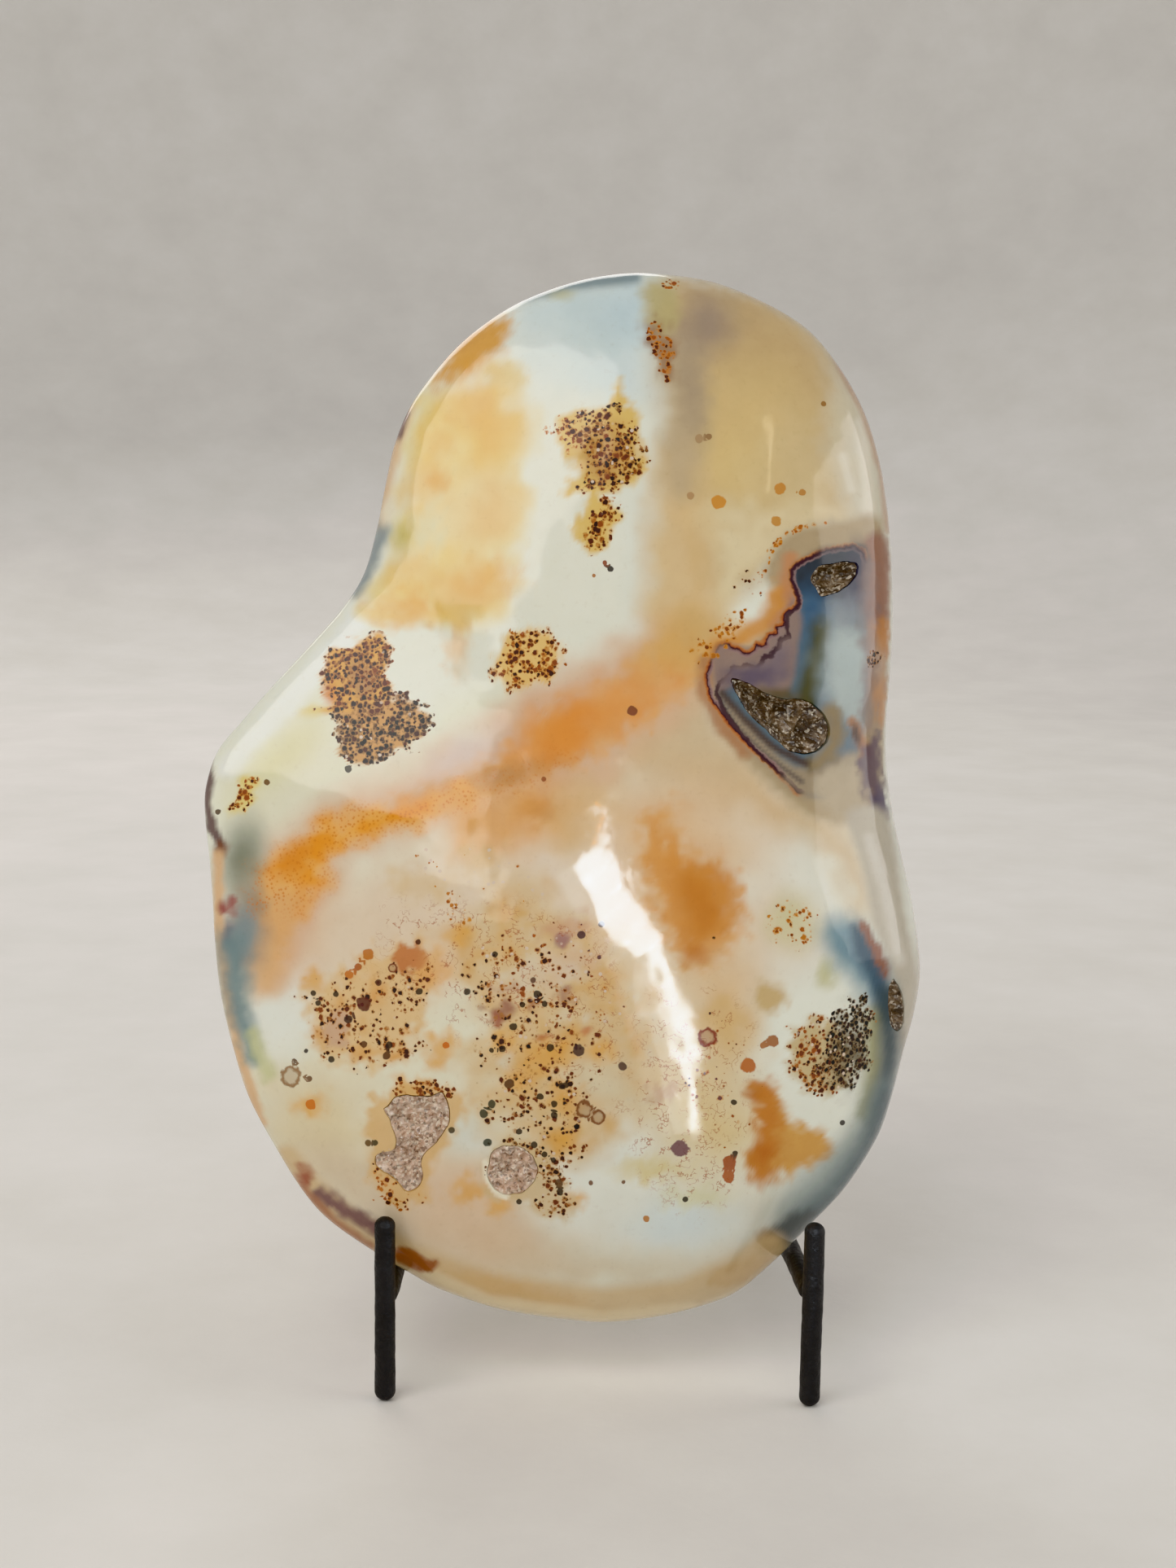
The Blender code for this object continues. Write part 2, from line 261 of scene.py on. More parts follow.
def grid_faces(across, along, start):
    """The four-sided faces of a grid cap whose first vertex has this index."""
    corner = start + np.arange(along)[:, None] * (across + 1) + np.arange(across)[None, :]
    corner = corner.ravel()
    return np.column_stack([corner, corner + 1, corner + across + 2, corner + across + 1])


def grid_rim(across, along, start):
    """The indices round a grid cap's rim, counterclockwise from its first corner."""
    row = across + 1
    low = np.arange(across)
    right = across + row * np.arange(along)
    high = along * row + across - np.arange(across)
    left = along * row - row * np.arange(along)
    return start + np.concatenate([low, right, high, left])


def stone_mesh():
    """The stone's mesh in its own frame, in metres."""
    tilt, way = tilt_table()
    fine_way = np.interp(FINE_TILT, tilt, way)
    coarse_way = np.interp(COARSE_TILT, tilt, way)
    front = grid_cap(FINE_ACROSS, FINE_ALONG, lambda span: np.interp(span * fine_way, way, tilt))
    across, along = FINE_ACROSS // 2, FINE_ALONG // 2
    back = grid_cap(
        across, along,
        lambda span: np.interp(way[-1] - span * (way[-1] - coarse_way), way, tilt),
    )
    faces = grid_faces(FINE_ACROSS, FINE_ALONG, 0).tolist()
    faces += grid_faces(across, along, len(front))[:, ::-1].tolist()
    fine = grid_rim(FINE_ACROSS, FINE_ALONG, 0)
    coarse = grid_rim(across, along, len(front))
    for k, low in enumerate(coarse):
        high = coarse[(k + 1) % len(coarse)]
        first, middle, last = fine[2 * k], fine[2 * k + 1], fine[(2 * k + 2) % len(fine)]
        faces += [[first, low, middle], [low, high, middle], [middle, high, last]]
    mesh = bpy.data.meshes.new("stone")
    mesh.from_pydata(np.vstack([front, back]) * MM, [], faces)
    mesh.shade_smooth()
    return mesh


def mesh_points(mesh):
    """The mesh's vertices as an array, in the mesh's own units."""
    flat = np.empty(len(mesh.vertices) * 3, np.float32)
    mesh.vertices.foreach_get("co", flat)
    return flat.reshape(-1, 3).astype(float)


# A distance beyond every other, to start a search for the nearest from.
FAR_OFF = 1e9


def way_off(points, path, closed=False):
    """Distance from points to a path, and the share of the way along it."""
    path = np.asarray(path, float)
    if closed:
        path = np.vstack([path, path[:1]])
    best = np.full(len(points), FAR_OFF)
    share = np.zeros(len(points))
    count = len(path) - 1
    for k in range(count):
        start, step = path[k], path[k + 1] - path[k]
        gap = points - start
        t = np.clip((gap @ step) / (step @ step), 0, 1)
        off = np.hypot(*(gap - t[:, None] * step).T)
        closer = off < best
        best = np.where(closer, off, best)
        share = np.where(closer, (k + t) / count, share)
    return best, share


def inside_by(points, outline):
    """How far points lie inside a closed outline: below zero is outside."""
    off = way_off(points, outline, closed=True)[0]
    inside = np.zeros(len(points), bool)
    last = outline[-1]
    for corner in outline:
        crosses = (corner[1] > points[:, 1]) != (last[1] > points[:, 1])
        rise = last[1] - corner[1]
        if rise:
            reach = corner[0] + (points[:, 1] - corner[1]) * (last[0] - corner[0]) / rise
            inside ^= crosses & (points[:, 0] < reach)
        last = corner
    return np.where(inside, off, -off)


# Soft noise for the painter.


# The hash behind the noise: a factor for each axis, one for the seed and one to mix the bits.
AXIS_FACTORS = (np.uint64(73856093), np.uint64(19349663), np.uint64(83492791))
SEED_FACTOR = 2654435761
MIX_FACTOR = np.uint64(1274126177)
MIX_SHIFTS = (np.uint64(13), np.uint64(16))
KEY_BITS = np.uint64(0xFFFFFF)
HALF_KEY = 0x7FFFFF
OCTAVE_SHIFT = 31.7


def lattice(points, seed):
    """Smooth random values from -1 to 1 on a cubic lattice of unit cells."""
    cell = np.floor(points).astype(np.int64)
    part = points - cell
    part = part * part * (3 - 2 * part)
    total = np.zeros(len(points))
    for corner in range(8):
        step = np.array([corner & 1, corner >> 1 & 1, corner >> 2])
        spot = (cell + step).astype(np.uint64)
        key = spot[:, 0] * AXIS_FACTORS[0] ^ spot[:, 1] * AXIS_FACTORS[1]
        key ^= spot[:, 2] * AXIS_FACTORS[2] ^ np.uint64(seed * SEED_FACTOR % 2**32)
        key = (key ^ (key >> MIX_SHIFTS[0])) * MIX_FACTOR
        key = (key ^ (key >> MIX_SHIFTS[1])) & KEY_BITS
        weight = np.prod(np.where(step, part, 1 - part), axis=1)
        total += weight * (key.astype(float) / HALF_KEY - 1)
    return total


def cloud(points, size, octaves=3, seed=1):
    """Layered soft noise from about -1 to 1, of this size in pixels."""
    total = np.zeros(len(points))
    share = 0.55
    for octave in range(octaves):
        total += share * lattice(points / size * 2**octave + OCTAVE_SHIFT * octave, seed + octave)
        share *= 0.5
    return total


# Shapes of the markings, all in photo pixels. Soft is how far the edge fades: a share of the
# size for a spot or a stroke, and pixels for a patch. Ragged is how far noise bends the edge.
Spot = namedtuple("Spot", "x y half_x half_y turn soft ragged", defaults=(0.3,))
Stroke = namedtuple("Stroke", "path start_width end_width soft ragged", defaults=(0.3,))
Patch = namedtuple("Patch", "outline soft ragged", defaults=(0.3,))


# Colours that several markings share, red, green and blue of 0 to 255.
MILK = (227, 230, 218)
SNOW = (232, 236, 232)
BLUE_MILK = (208, 222, 224)
PALE_BLUE = (160, 190, 202)
PINK = (222, 194, 168)
RUST = (140, 66, 26)
BROWN = (112, 74, 46)
INK = (40, 30, 26)

# Stains, area by area and in the order in which they are laid: the shape, its colour, its
# strength and, on some, the noise that breaks it up.


# The broad fields of milk, cream and beige under everything else.
GROUNDS = [
    (Patch([(640, 372), (720, 345), (800, 340), (800, 400), (815, 480), (790, 500), (720, 490),
        (660, 480), (632, 430)], 30), BLUE_MILK, 1.0),
    (Spot(748, 395, 60, 40, 0, 0.9), PALE_BLUE, 0.4),
    (Spot(660, 650, 120, 190, 0, 0.8), (226, 227, 213), 0.8),
    (Spot(800, 640, 30, 150, 4, 0.8), (220, 224, 214), 0.8),
    (Patch([(420, 760), (330, 880), (270, 950), (270, 1010), (330, 1010), (440, 960), (560, 900),
        (640, 850), (560, 860), (480, 950), (400, 900), (400, 800)], 34), (224, 224, 200), 0.8),
    (Stroke([(452, 745), (395, 815), (330, 890), (280, 945)], 16, 12, 0.6, 0.15), SNOW, 0.85),
    (Spot(350, 930, 60, 22, -40, 0.9), (218, 214, 160), 0.7),
    (Spot(470, 1290, 240, 300, 0, 0.6), (220, 214, 188), 0.7),
    (Spot(640, 1080, 330, 90, -15, 0.7), PINK, 0.55),
    (Patch([(880, 860), (960, 960), (1040, 1000), (1075, 1100), (1050, 1130), (1010, 1060), (930, 1010),
        (850, 980), (760, 960), (700, 1000), (760, 900), (840, 830)], 40), (206, 184, 148), 0.9),
    (Patch([(900, 1020), (980, 1040), (1030, 1110), (1010, 1200), (930, 1190), (900, 1120)], 34),
        (226, 228, 218), 0.9),
    (Spot(760, 1530, 260, 50, 0, 0.7), (206, 190, 160), 0.8),
    (Spot(560, 1480, 110, 60, 15, 0.9), (214, 184, 154), 0.8),
    (Patch([(700, 1400), (860, 1390), (900, 1470), (930, 1520), (860, 1545), (740, 1535), (650, 1490)],
        34), (224, 227, 217), 0.9),
    (Spot(835, 1500, 60, 26, -5, 0.8), BLUE_MILK, 0.7),
    (Spot(345, 1240, 52, 60, 10, 0.7), (226, 230, 222), 0.9),
    (Spot(395, 1370, 60, 50, 20, 0.8), (214, 198, 160), 0.8),
    (Spot(420, 1440, 60, 30, 30, 0.9), (206, 186, 158), 0.7),
    (Spot(580, 1395, 30, 26, 0, 0.8), (212, 216, 206), 0.8),
    (Spot(1000, 1470, 70, 40, -45, 0.8), (176, 186, 182), 0.7),
    (Spot(470, 1160, 90, 60, -10, 0.9), (218, 200, 176), 0.8),
]

# The upper lobe's amber field, and its clouds: place, half sizes, turn and strength.
AMBER_FIELD = Patch([(506, 500), (540, 470), (590, 466), (634, 484), (646, 560), (640, 650), (628, 742),
    (590, 762), (520, 770), (464, 764), (452, 742), (474, 690), (490, 640), (488, 560)], 22, 0.9)
AMBER_CLOUDS = [
    (588, 494, 36, 22, 30, 0.6), (604, 536, 26, 22, 5, 0.4), (520, 596, 26, 24, -5, 0.5),
    (538, 594, 10, 10, 0, 0.7), (604, 606, 26, 34, 0, 0.4), (584, 646, 26, 24, -20, 0.4),
    (578, 718, 36, 20, -8, 0.8), (612, 706, 22, 16, 0, 0.5), (509, 736, 12, 14, 0, 0.7),
    (506, 696, 22, 18, 0, 0.4), (520, 752, 24, 12, 0, 0.5), (563, 790, 11, 26, 0, 0.6),
    (480, 752, 24, 14, 10, 0.5), (540, 540, 20, 16, 0, 0.4),
]

# The amber clouds of the upper lobe's left side.
UPPER_LEFT = [
    (AMBER_FIELD, (230, 212, 150), 0.95, lambda c: 0.9 + 0.3 * c.broad),
    (AMBER_FIELD, (230, 198, 112), 0.8, lambda c: smooth(-0.3, 0.7, c.broad + 0.35 * c.fine)),
    (Patch([(528, 474), (556, 424), (590, 396), (624, 392), (624, 418), (598, 446), (562, 464)], 14, 0.5),
        (212, 158, 76), 0.95),
    (Patch([(598, 450), (640, 448), (642, 470), (604, 474)], 12, 0.6), (218, 198, 142), 0.8),
    *((Spot(x, y, half_x * 1.1, half_y * 1.2, turn, 0.98, 0.6), (222, 164, 72), strength * 0.85)
      for x, y, half_x, half_y, turn, strength in AMBER_CLOUDS),
    (Spot(495, 658, 14, 16, 0, 0.8), (196, 184, 112), 0.7),
    (Spot(528, 648, 18, 24, 0, 0.95, 0.6), (216, 212, 180), 0.7),
    (Stroke([(500, 500), (486, 545), (472, 600), (466, 640)], 8, 9, 0.8, 0.2), (214, 180, 142), 0.85),
    (Stroke([(500, 508), (490, 536)], 4, 4, 0.7), (96, 70, 80), 0.8),
    (Stroke([(470, 650), (455, 690), (436, 726)], 10, 9, 0.8, 0.2), (116, 130, 138), 0.8),
    (Spot(478, 628, 10, 16, 20, 0.6), (226, 218, 196), 0.9),
    (Stroke([(640, 366), (700, 350), (780, 340)], 6, 8, 0.95, 0.1), (112, 132, 140), 0.85),
    (Spot(690, 362, 14, 6, 0, 0.8), (186, 184, 140), 0.6),
]

# The honey side of the upper lobe, with a painted reflection: the white veil along the edge.
HONEY_SIDE = [
    # Painted reflection: this pale patch at the right edge is part of the white veil.
    (Patch([(1000, 420), (1040, 440), (1075, 520), (1086, 600), (1086, 650), (1000, 640), (990, 540)], 14,
        0.2), (204, 198, 178), 1.0),
    (Patch([(826, 345), (870, 346), (930, 362), (985, 398), (1014, 453), (1012, 506), (1008, 565),
        (1036, 624), (1000, 640), (950, 665), (930, 715), (880, 730), (850, 700), (838, 620), (830, 540),
        (826, 470), (814, 420), (806, 380)], 20, 0.25), (196, 172, 132), 1.0),
    (Spot(930, 420, 80, 50, 25, 0.9), (182, 158, 120), 0.8),
    (Spot(920, 515, 84, 90, 10, 0.98), (208, 182, 130), 0.8),
    (Spot(905, 565, 66, 70, 10, 0.98), (218, 194, 138), 0.75),
    (Spot(980, 590, 50, 66, 0, 0.98), (206, 188, 148), 0.6),
    (Patch([(868, 622), (930, 620), (1000, 622), (1040, 632), (980, 645), (945, 680), (925, 730),
        (890, 775), (862, 700)], 36, 0.8), (220, 206, 170), 1.0),
    (Patch([(806, 560), (838, 540), (868, 600), (870, 700), (884, 770), (850, 800), (800, 790),
        (796, 700)], 24, 0.5), (214, 186, 138), 0.9),
    (Stroke([(836, 430), (842, 520), (836, 590)], 26, 24, 0.9), (188, 170, 140), 0.8),
    (Spot(866, 398, 34, 32, 20, 0.9), (156, 140, 126), 0.85),
    (Spot(850, 470, 18, 60, -5, 0.95), (162, 146, 126), 0.6),
    (Patch([(790, 352), (828, 350), (830, 400), (800, 404)], 12), (186, 174, 126), 0.9),
    (Stroke([(802, 410), (816, 430), (826, 466)], 14, 8, 0.9, 0.6), (150, 116, 88), 0.85),
    # Painted reflection: these two pale strokes are the brightest part of the white veil.
    (Stroke([(1036, 560), (1046, 600)], 5, 5, 0.9, 0.1), (222, 216, 200), 0.7),
    (Stroke([(1058, 520), (1066, 590), (1068, 640)], 7, 7, 0.9, 0.1), (224, 218, 202), 0.8),
    (Stroke([(1022, 432), (1062, 506), (1084, 580), (1092, 650)], 5, 5, 0.6, 0.1), (182, 148, 122), 0.8),
]

# The river's body, its grainy band and tail, and the yellow patches below it, by place and size.
RIVER_BODY = Patch([(830, 790), (870, 800), (840, 850), (770, 900), (700, 940), (620, 966), (540, 990),
    (470, 1014), (410, 1046), (372, 1100), (350, 1160), (326, 1150), (334, 1090), (370, 1046),
    (440, 1006), (530, 966), (610, 926), (670, 880), (740, 840)], 18, 0.6)
GRAIN_BAND = Stroke([(566, 976), (510, 994), (450, 1016), (400, 1040), (365, 1068), (338, 1096)], 14, 30,
    0.8, 0.6)
GRAIN_TAIL = Stroke([(600, 968), (660, 950), (700, 930)], 18, 10, 0.8, 0.5)
YELLOW_PATCHES = [
    (497, 1083, 16), (540, 1090, 16), (630, 1096, 24), (590, 1060, 20), (700, 1030, 26),
    (730, 990, 30),
]

# The orange river from the honey lobe down to the left edge.
RIVER = [
    (Patch([(800, 770), (880, 790), (860, 860), (780, 920), (720, 975), (640, 1000), (540, 1010),
        (470, 1040), (420, 1080), (380, 1180), (330, 1210), (290, 1180), (296, 1100), (330, 1040),
        (400, 990), (500, 940), (580, 900), (640, 850), (720, 810)], 30, 0.4), (214, 178, 146), 0.9),
    (RIVER_BODY, (222, 172, 116), 0.9, lambda c: 0.95 + 0.25 * c.broad),
    (RIVER_BODY, (222, 150, 76), 0.8, lambda c: smooth(-0.2, 0.7, c.broad + 0.4 * c.fine)),
    (Spot(700, 890, 74, 26, -32, 0.98, 0.6), (222, 146, 74), 0.85),
    (Spot(820, 790, 44, 26, -45, 0.9), (212, 170, 104), 0.8),
    (Spot(866, 790, 34, 46, 0, 0.95), (208, 172, 112), 0.8),
    (Spot(590, 962, 80, 14, -14, 0.95), (184, 138, 92), 0.7),
    (GRAIN_BAND, (234, 170, 74), 0.95, lambda c: 0.8 + 0.5 * c.fine),
    (GRAIN_BAND, (222, 140, 40), 0.75, lambda c: smooth(-0.1, 0.4, c.fine)),
    (Spot(362, 1056, 26, 14, -45, 0.9), (214, 134, 42), 0.75),
    (Stroke([(345, 1110), (330, 1170), (322, 1210)], 24, 16, 0.95), (216, 170, 116), 0.8),
    (Spot(576, 998, 38, 34, 0, 0.98, 0.6), (224, 168, 98), 0.85),
    (Spot(655, 1004, 56, 38, -10, 0.98, 0.6), (220, 160, 88), 0.85),
    (Spot(668, 994, 24, 14, 0, 0.9, 0.6), (204, 142, 76), 0.65),
    (Spot(568, 926, 46, 18, -30, 0.95), (214, 198, 190), 0.8),
    *((Spot(x, y, size * 1.2, size, 0, 0.95, 0.6), (212, 184, 136), 0.6) for x, y, size in YELLOW_PATCHES),
    (Spot(298, 1056, 24, 44, 10, 0.95), (118, 124, 106), 0.9),
    # Painted shade: blue-grey darkening by the left edge.
    (Spot(302, 1145, 22, 44, 6, 0.95), (112, 128, 130), 0.85),
    (Spot(318, 1110, 12, 12, 0, 0.9), (140, 132, 118), 0.5),
]

# The large cloud on the right of the lower lobe.
RIGHT_CLOUD = Patch([(794, 1005), (815, 992), (832, 998), (826, 1030), (846, 1052), (873, 1062),
    (896, 1080), (910, 1100), (912, 1124), (902, 1150), (888, 1174), (861, 1188), (836, 1178),
    (824, 1147), (812, 1118), (798, 1080), (790, 1040)], 20, 0.7)
# Orange clouds on the right of the lower lobe, which start from that one.
RIGHT_CLOUDS = [
    (Spot(846, 1106, 100, 116, 0, 0.95, 0.5), (218, 180, 132), 0.9),
    (RIGHT_CLOUD, (216, 162, 100), 0.95),
    (RIGHT_CLOUD, (210, 142, 70), 0.65, lambda c: smooth(-0.3, 0.6, c.broad + 0.4 * c.fine)),
    (Spot(866, 1112, 30, 44, 0, 0.98, 0.5), (194, 124, 54), 0.85),
    (Spot(858, 1174, 18, 12, 0, 0.8, 0.5), (186, 108, 36), 0.8),
    (Spot(894, 1200, 44, 30, 0, 0.95), (214, 180, 136), 0.6),
    (Spot(895, 1262, 32, 34, 0, 0.95, 0.6), (208, 168, 104), 0.85),
    (Spot(830, 1310, 64, 80, 0, 0.98, 0.6), (214, 184, 132), 0.75),
    (Spot(870, 1390, 56, 66, 0, 0.98, 0.6), (216, 190, 130), 0.75),
    (Patch([(919, 1338), (936, 1332), (955, 1338), (960, 1356), (972, 1376), (996, 1385), (1018, 1401),
        (1020, 1418), (1010, 1431), (988, 1433), (965, 1442), (940, 1449), (921, 1443), (917, 1422),
        (930, 1397), (930, 1363)], 10, 0.6), (206, 158, 90), 1.0),
    (Stroke([(938, 1340), (944, 1372), (940, 1410), (936, 1436)], 13, 17, 0.9, 0.5), (192, 120, 52),
        0.85),
    (Spot(926, 1345, 10, 9, 0, 0.8), (180, 106, 38), 0.7),
    (Spot(935, 1414, 12, 12, 0, 0.8), (182, 104, 36), 0.7),
    (Spot(946, 1226, 20, 19, 0, 0.45), (200, 174, 126), 0.95),
    (Spot(1016, 1196, 11, 16, 0, 0.8), (190, 188, 142), 0.85),
    (Spot(972, 1132, 26, 30, 0, 0.9), (206, 198, 158), 0.9),
    (Spot(800, 1438, 40, 12, 0, 0.9, 0.6), (214, 198, 142), 0.8),
    (Spot(855, 1470, 34, 12, 0, 0.9, 0.6), (212, 208, 162), 0.6),
]

# The lower lobe's grounds, and its small patches: the reddish ones by place, half sizes, colour
# and strength, the orange ones by place and size.
AMBER_GROUND = Patch([(560, 1130), (640, 1110), (720, 1120), (770, 1170), (800, 1240), (800, 1320),
    (760, 1380), (700, 1420), (640, 1400), (600, 1370), (580, 1320), (590, 1250), (550, 1200)], 30, 0.8)
LEFT_GROUND = Patch([(385, 1205), (420, 1195), (470, 1170), (520, 1160), (545, 1190), (530, 1230),
    (500, 1290), (450, 1310), (400, 1300), (380, 1260)], 14, 0.8)
REDDISH_PATCHES = [
    (613, 1243, 17, 10, (140, 78, 66), 0.85), (606, 1252, 10, 7, (160, 92, 70), 0.7),
    (620, 1212, 14, 6, (160, 100, 84), 0.7), (693, 1226, 13, 11, (158, 110, 92), 0.75),
    (690, 1154, 9, 6, (120, 78, 104), 0.8), (656, 1237, 8, 6, (150, 80, 56), 0.7),
    (666, 1276, 9, 5, (170, 92, 50), 0.8), (722, 1266, 7, 5, (186, 110, 66), 0.7),
    (698, 1140, 26, 14, (196, 150, 130), 0.5), (812, 1340, 14, 10, (170, 108, 90), 0.4),
    (646, 1210, 40, 22, (214, 196, 168), 0.5), (700, 1180, 44, 20, (214, 190, 166), 0.6),
]
ORANGE_PATCHES = [
    (578, 1462, 15), (616, 1484, 10), (709, 1472, 10), (540, 1284, 15), (385, 1203, 9),
    (536, 1306, 9), (565, 1150, 10), (690, 1290, 14), (640, 1330, 14), (740, 1290, 12),
    (690, 1345, 14), (660, 1300, 16), (620, 1280, 14), (690, 1400, 12), (382, 1357, 13),
    (500, 1340, 14),
]
POCKET_GROUND = Patch([(455, 1355), (500, 1330), (560, 1338), (566, 1380), (530, 1430), (525, 1470),
    (490, 1480), (455, 1450), (450, 1400)], 8, 0.7)

# The amber ground in the middle of the lower lobe, with purple and rust patches.
LOWER_LOBE = [
    (AMBER_GROUND, (212, 186, 142), 0.95),
    (AMBER_GROUND, (208, 160, 92), 0.85, lambda c: smooth(-0.2, 0.6, c.fine + 0.4 * c.broad)),
    (AMBER_GROUND, (216, 210, 192), 0.7, lambda c: smooth(0.15, 0.7, -c.fine - 0.4 * c.broad)),
    (Spot(735, 1330, 36, 30, 0, 0.9), (214, 206, 180), 0.8),
    (LEFT_GROUND, (216, 182, 128), 0.85),
    (LEFT_GROUND, (210, 152, 80), 0.8, lambda c: smooth(-0.1, 0.5, c.fine)),
    (Patch([(398, 1256), (404, 1240), (420, 1240), (428, 1262), (422, 1286), (404, 1284)], 4, 0.6),
        (202, 168, 138), 1.0),
    (Patch([(485, 1175), (494, 1161), (512, 1160), (521, 1173), (517, 1188), (499, 1194), (487, 1186)],
        2.5, 0.7), (190, 122, 74), 0.95),
    (Spot(535, 1190, 18, 24, 0, 0.9), (220, 168, 110), 0.6),
    *((Spot(x, y, half_x, half_y, -12, 0.6, 0.8), colour, strength)
      for x, y, half_x, half_y, colour, strength in REDDISH_PATCHES),
    *((Spot(x, y, size * 1.3, size, -10, 0.9, 0.6), (216, 162, 80), 0.75)
      for x, y, size in ORANGE_PATCHES),
    (POCKET_GROUND, (212, 172, 112), 0.8),
    (Patch([(596, 1430), (610, 1404), (650, 1400), (690, 1440), (705, 1480), (690, 1500), (640, 1478),
        (600, 1470)], 9, 0.7), (204, 178, 132), 0.8),
    (Stroke([(597, 1428), (599, 1448), (610, 1464), (622, 1470)], 4, 4, 0.5, 0.1), (236, 230, 210), 0.9),
]

# Amber and beige grounds under the clusters of specks.
CLUSTER_GROUNDS = [
    (Patch([(760, 466), (768, 500), (780, 500), (788, 545), (788, 583), (764, 600), (738, 612),
        (764, 628), (750, 662), (729, 682), (713, 668), (705, 648), (722, 610), (690, 606), (713, 580),
        (688, 562), (688, 534), (696, 506), (740, 500)], 6, 0.6), (218, 186, 108), 0.95),
    (Spot(742, 556, 32, 30, 20, 0.8, 0.5), (186, 140, 88), 0.8),
    (Patch([(605, 813), (615, 790), (628, 777), (665, 775), (688, 790), (685, 827), (668, 837),
        (645, 840), (628, 847), (605, 833)], 6, 0.6), (224, 186, 110), 0.9),
    (Patch([(402, 807), (412, 798), (432, 790), (445, 782), (465, 782), (478, 797), (475, 817),
        (478, 840), (485, 856), (470, 872), (430, 880), (395, 880), (388, 872), (402, 862), (398, 830)],
        5, 0.6), (216, 164, 82), 1.0),
    (Spot(405, 852, 7, 11, 0, 0.9), (206, 124, 50), 0.9),
    (Spot(446, 832, 16, 26, -6, 0.8, 0.6), (150, 112, 84), 0.75),
    (Patch([(415, 880), (455, 864), (485, 860), (510, 868), (528, 872), (530, 884), (520, 898),
        (508, 913), (490, 922), (470, 932), (452, 940), (432, 933), (417, 922), (418, 905)], 4, 0.6),
        (200, 152, 92), 1.0),
    (Spot(384, 874, 14, 8, -10, 0.8), (222, 206, 140), 0.9),
    (Patch([(295, 950), (314, 958), (316, 973), (305, 993), (282, 998), (285, 985), (294, 972)], 6, 0.6),
        (222, 204, 132), 0.95),
    (Patch([(975, 1262), (1000, 1252), (1030, 1262), (1050, 1290), (1040, 1330), (1010, 1345),
        (980, 1330), (968, 1300)], 8, 0.7), (196, 176, 132), 0.95),
    (Spot(1042, 1288, 20, 40, 6, 0.9, 0.6), (96, 92, 78), 0.85),
]

# The eye's blue inside, and the mauve band that borders it on the left.
EYE_TOP = [(1064, 690), (1060, 678), (1049, 671), (1037, 672), (1025, 675), (1014, 676), (1003, 681),
           (992, 687), (978, 694), (973, 700), (973, 713), (978, 725), (982, 738), (979, 747)]
EYE_FOOT = [(1015, 980), (1040, 958), (1056, 928), (1063, 880), (1067, 830), (1065, 760)]
INNER_EYE = EYE_TOP + [
    (968, 754), (966, 766), (969, 783), (958, 786), (957, 796), (950, 799), (949, 807), (938, 806),
    (936, 816), (927, 820), (917, 816), (911, 822), (902, 819), (896, 832), (884, 838), (880, 850),
    (890, 874), (908, 898), (930, 924), (955, 947), (985, 974),
] + EYE_FOOT
OUTER_EYE = EYE_TOP + [
    (968, 750), (962, 758), (964, 767), (954, 770), (955, 779), (945, 780), (941, 786), (942, 793),
    (930, 792), (927, 799), (917, 803), (908, 797), (899, 796), (893, 790), (884, 792), (874, 810),
    (868, 832), (873, 857), (885, 873), (900, 893), (922, 917), (950, 941), (980, 974),
] + EYE_FOOT
EYE_CONTOUR = Stroke([(1052, 666), (1000, 680), (970, 705), (978, 748), (940, 795), (890, 800),
    (866, 835), (890, 885), (935, 930), (975, 966)], 22, 14, 0.4, 0.1)

# Where the lines round the eye fade out.
CONTOUR_GAPS = [
    Spot(1052, 672, 24, 14, 0, 0.9, 0.5),
    Spot(968, 792, 10, 8, 0, 0.9, 0.5),
    Spot(1012, 676, 12, 9, 0, 0.9, 0.5),
    Spot(876, 800, 16, 12, 0, 0.9, 0.5),
    Spot(975, 960, 18, 14, 0, 0.9, 0.5),
]

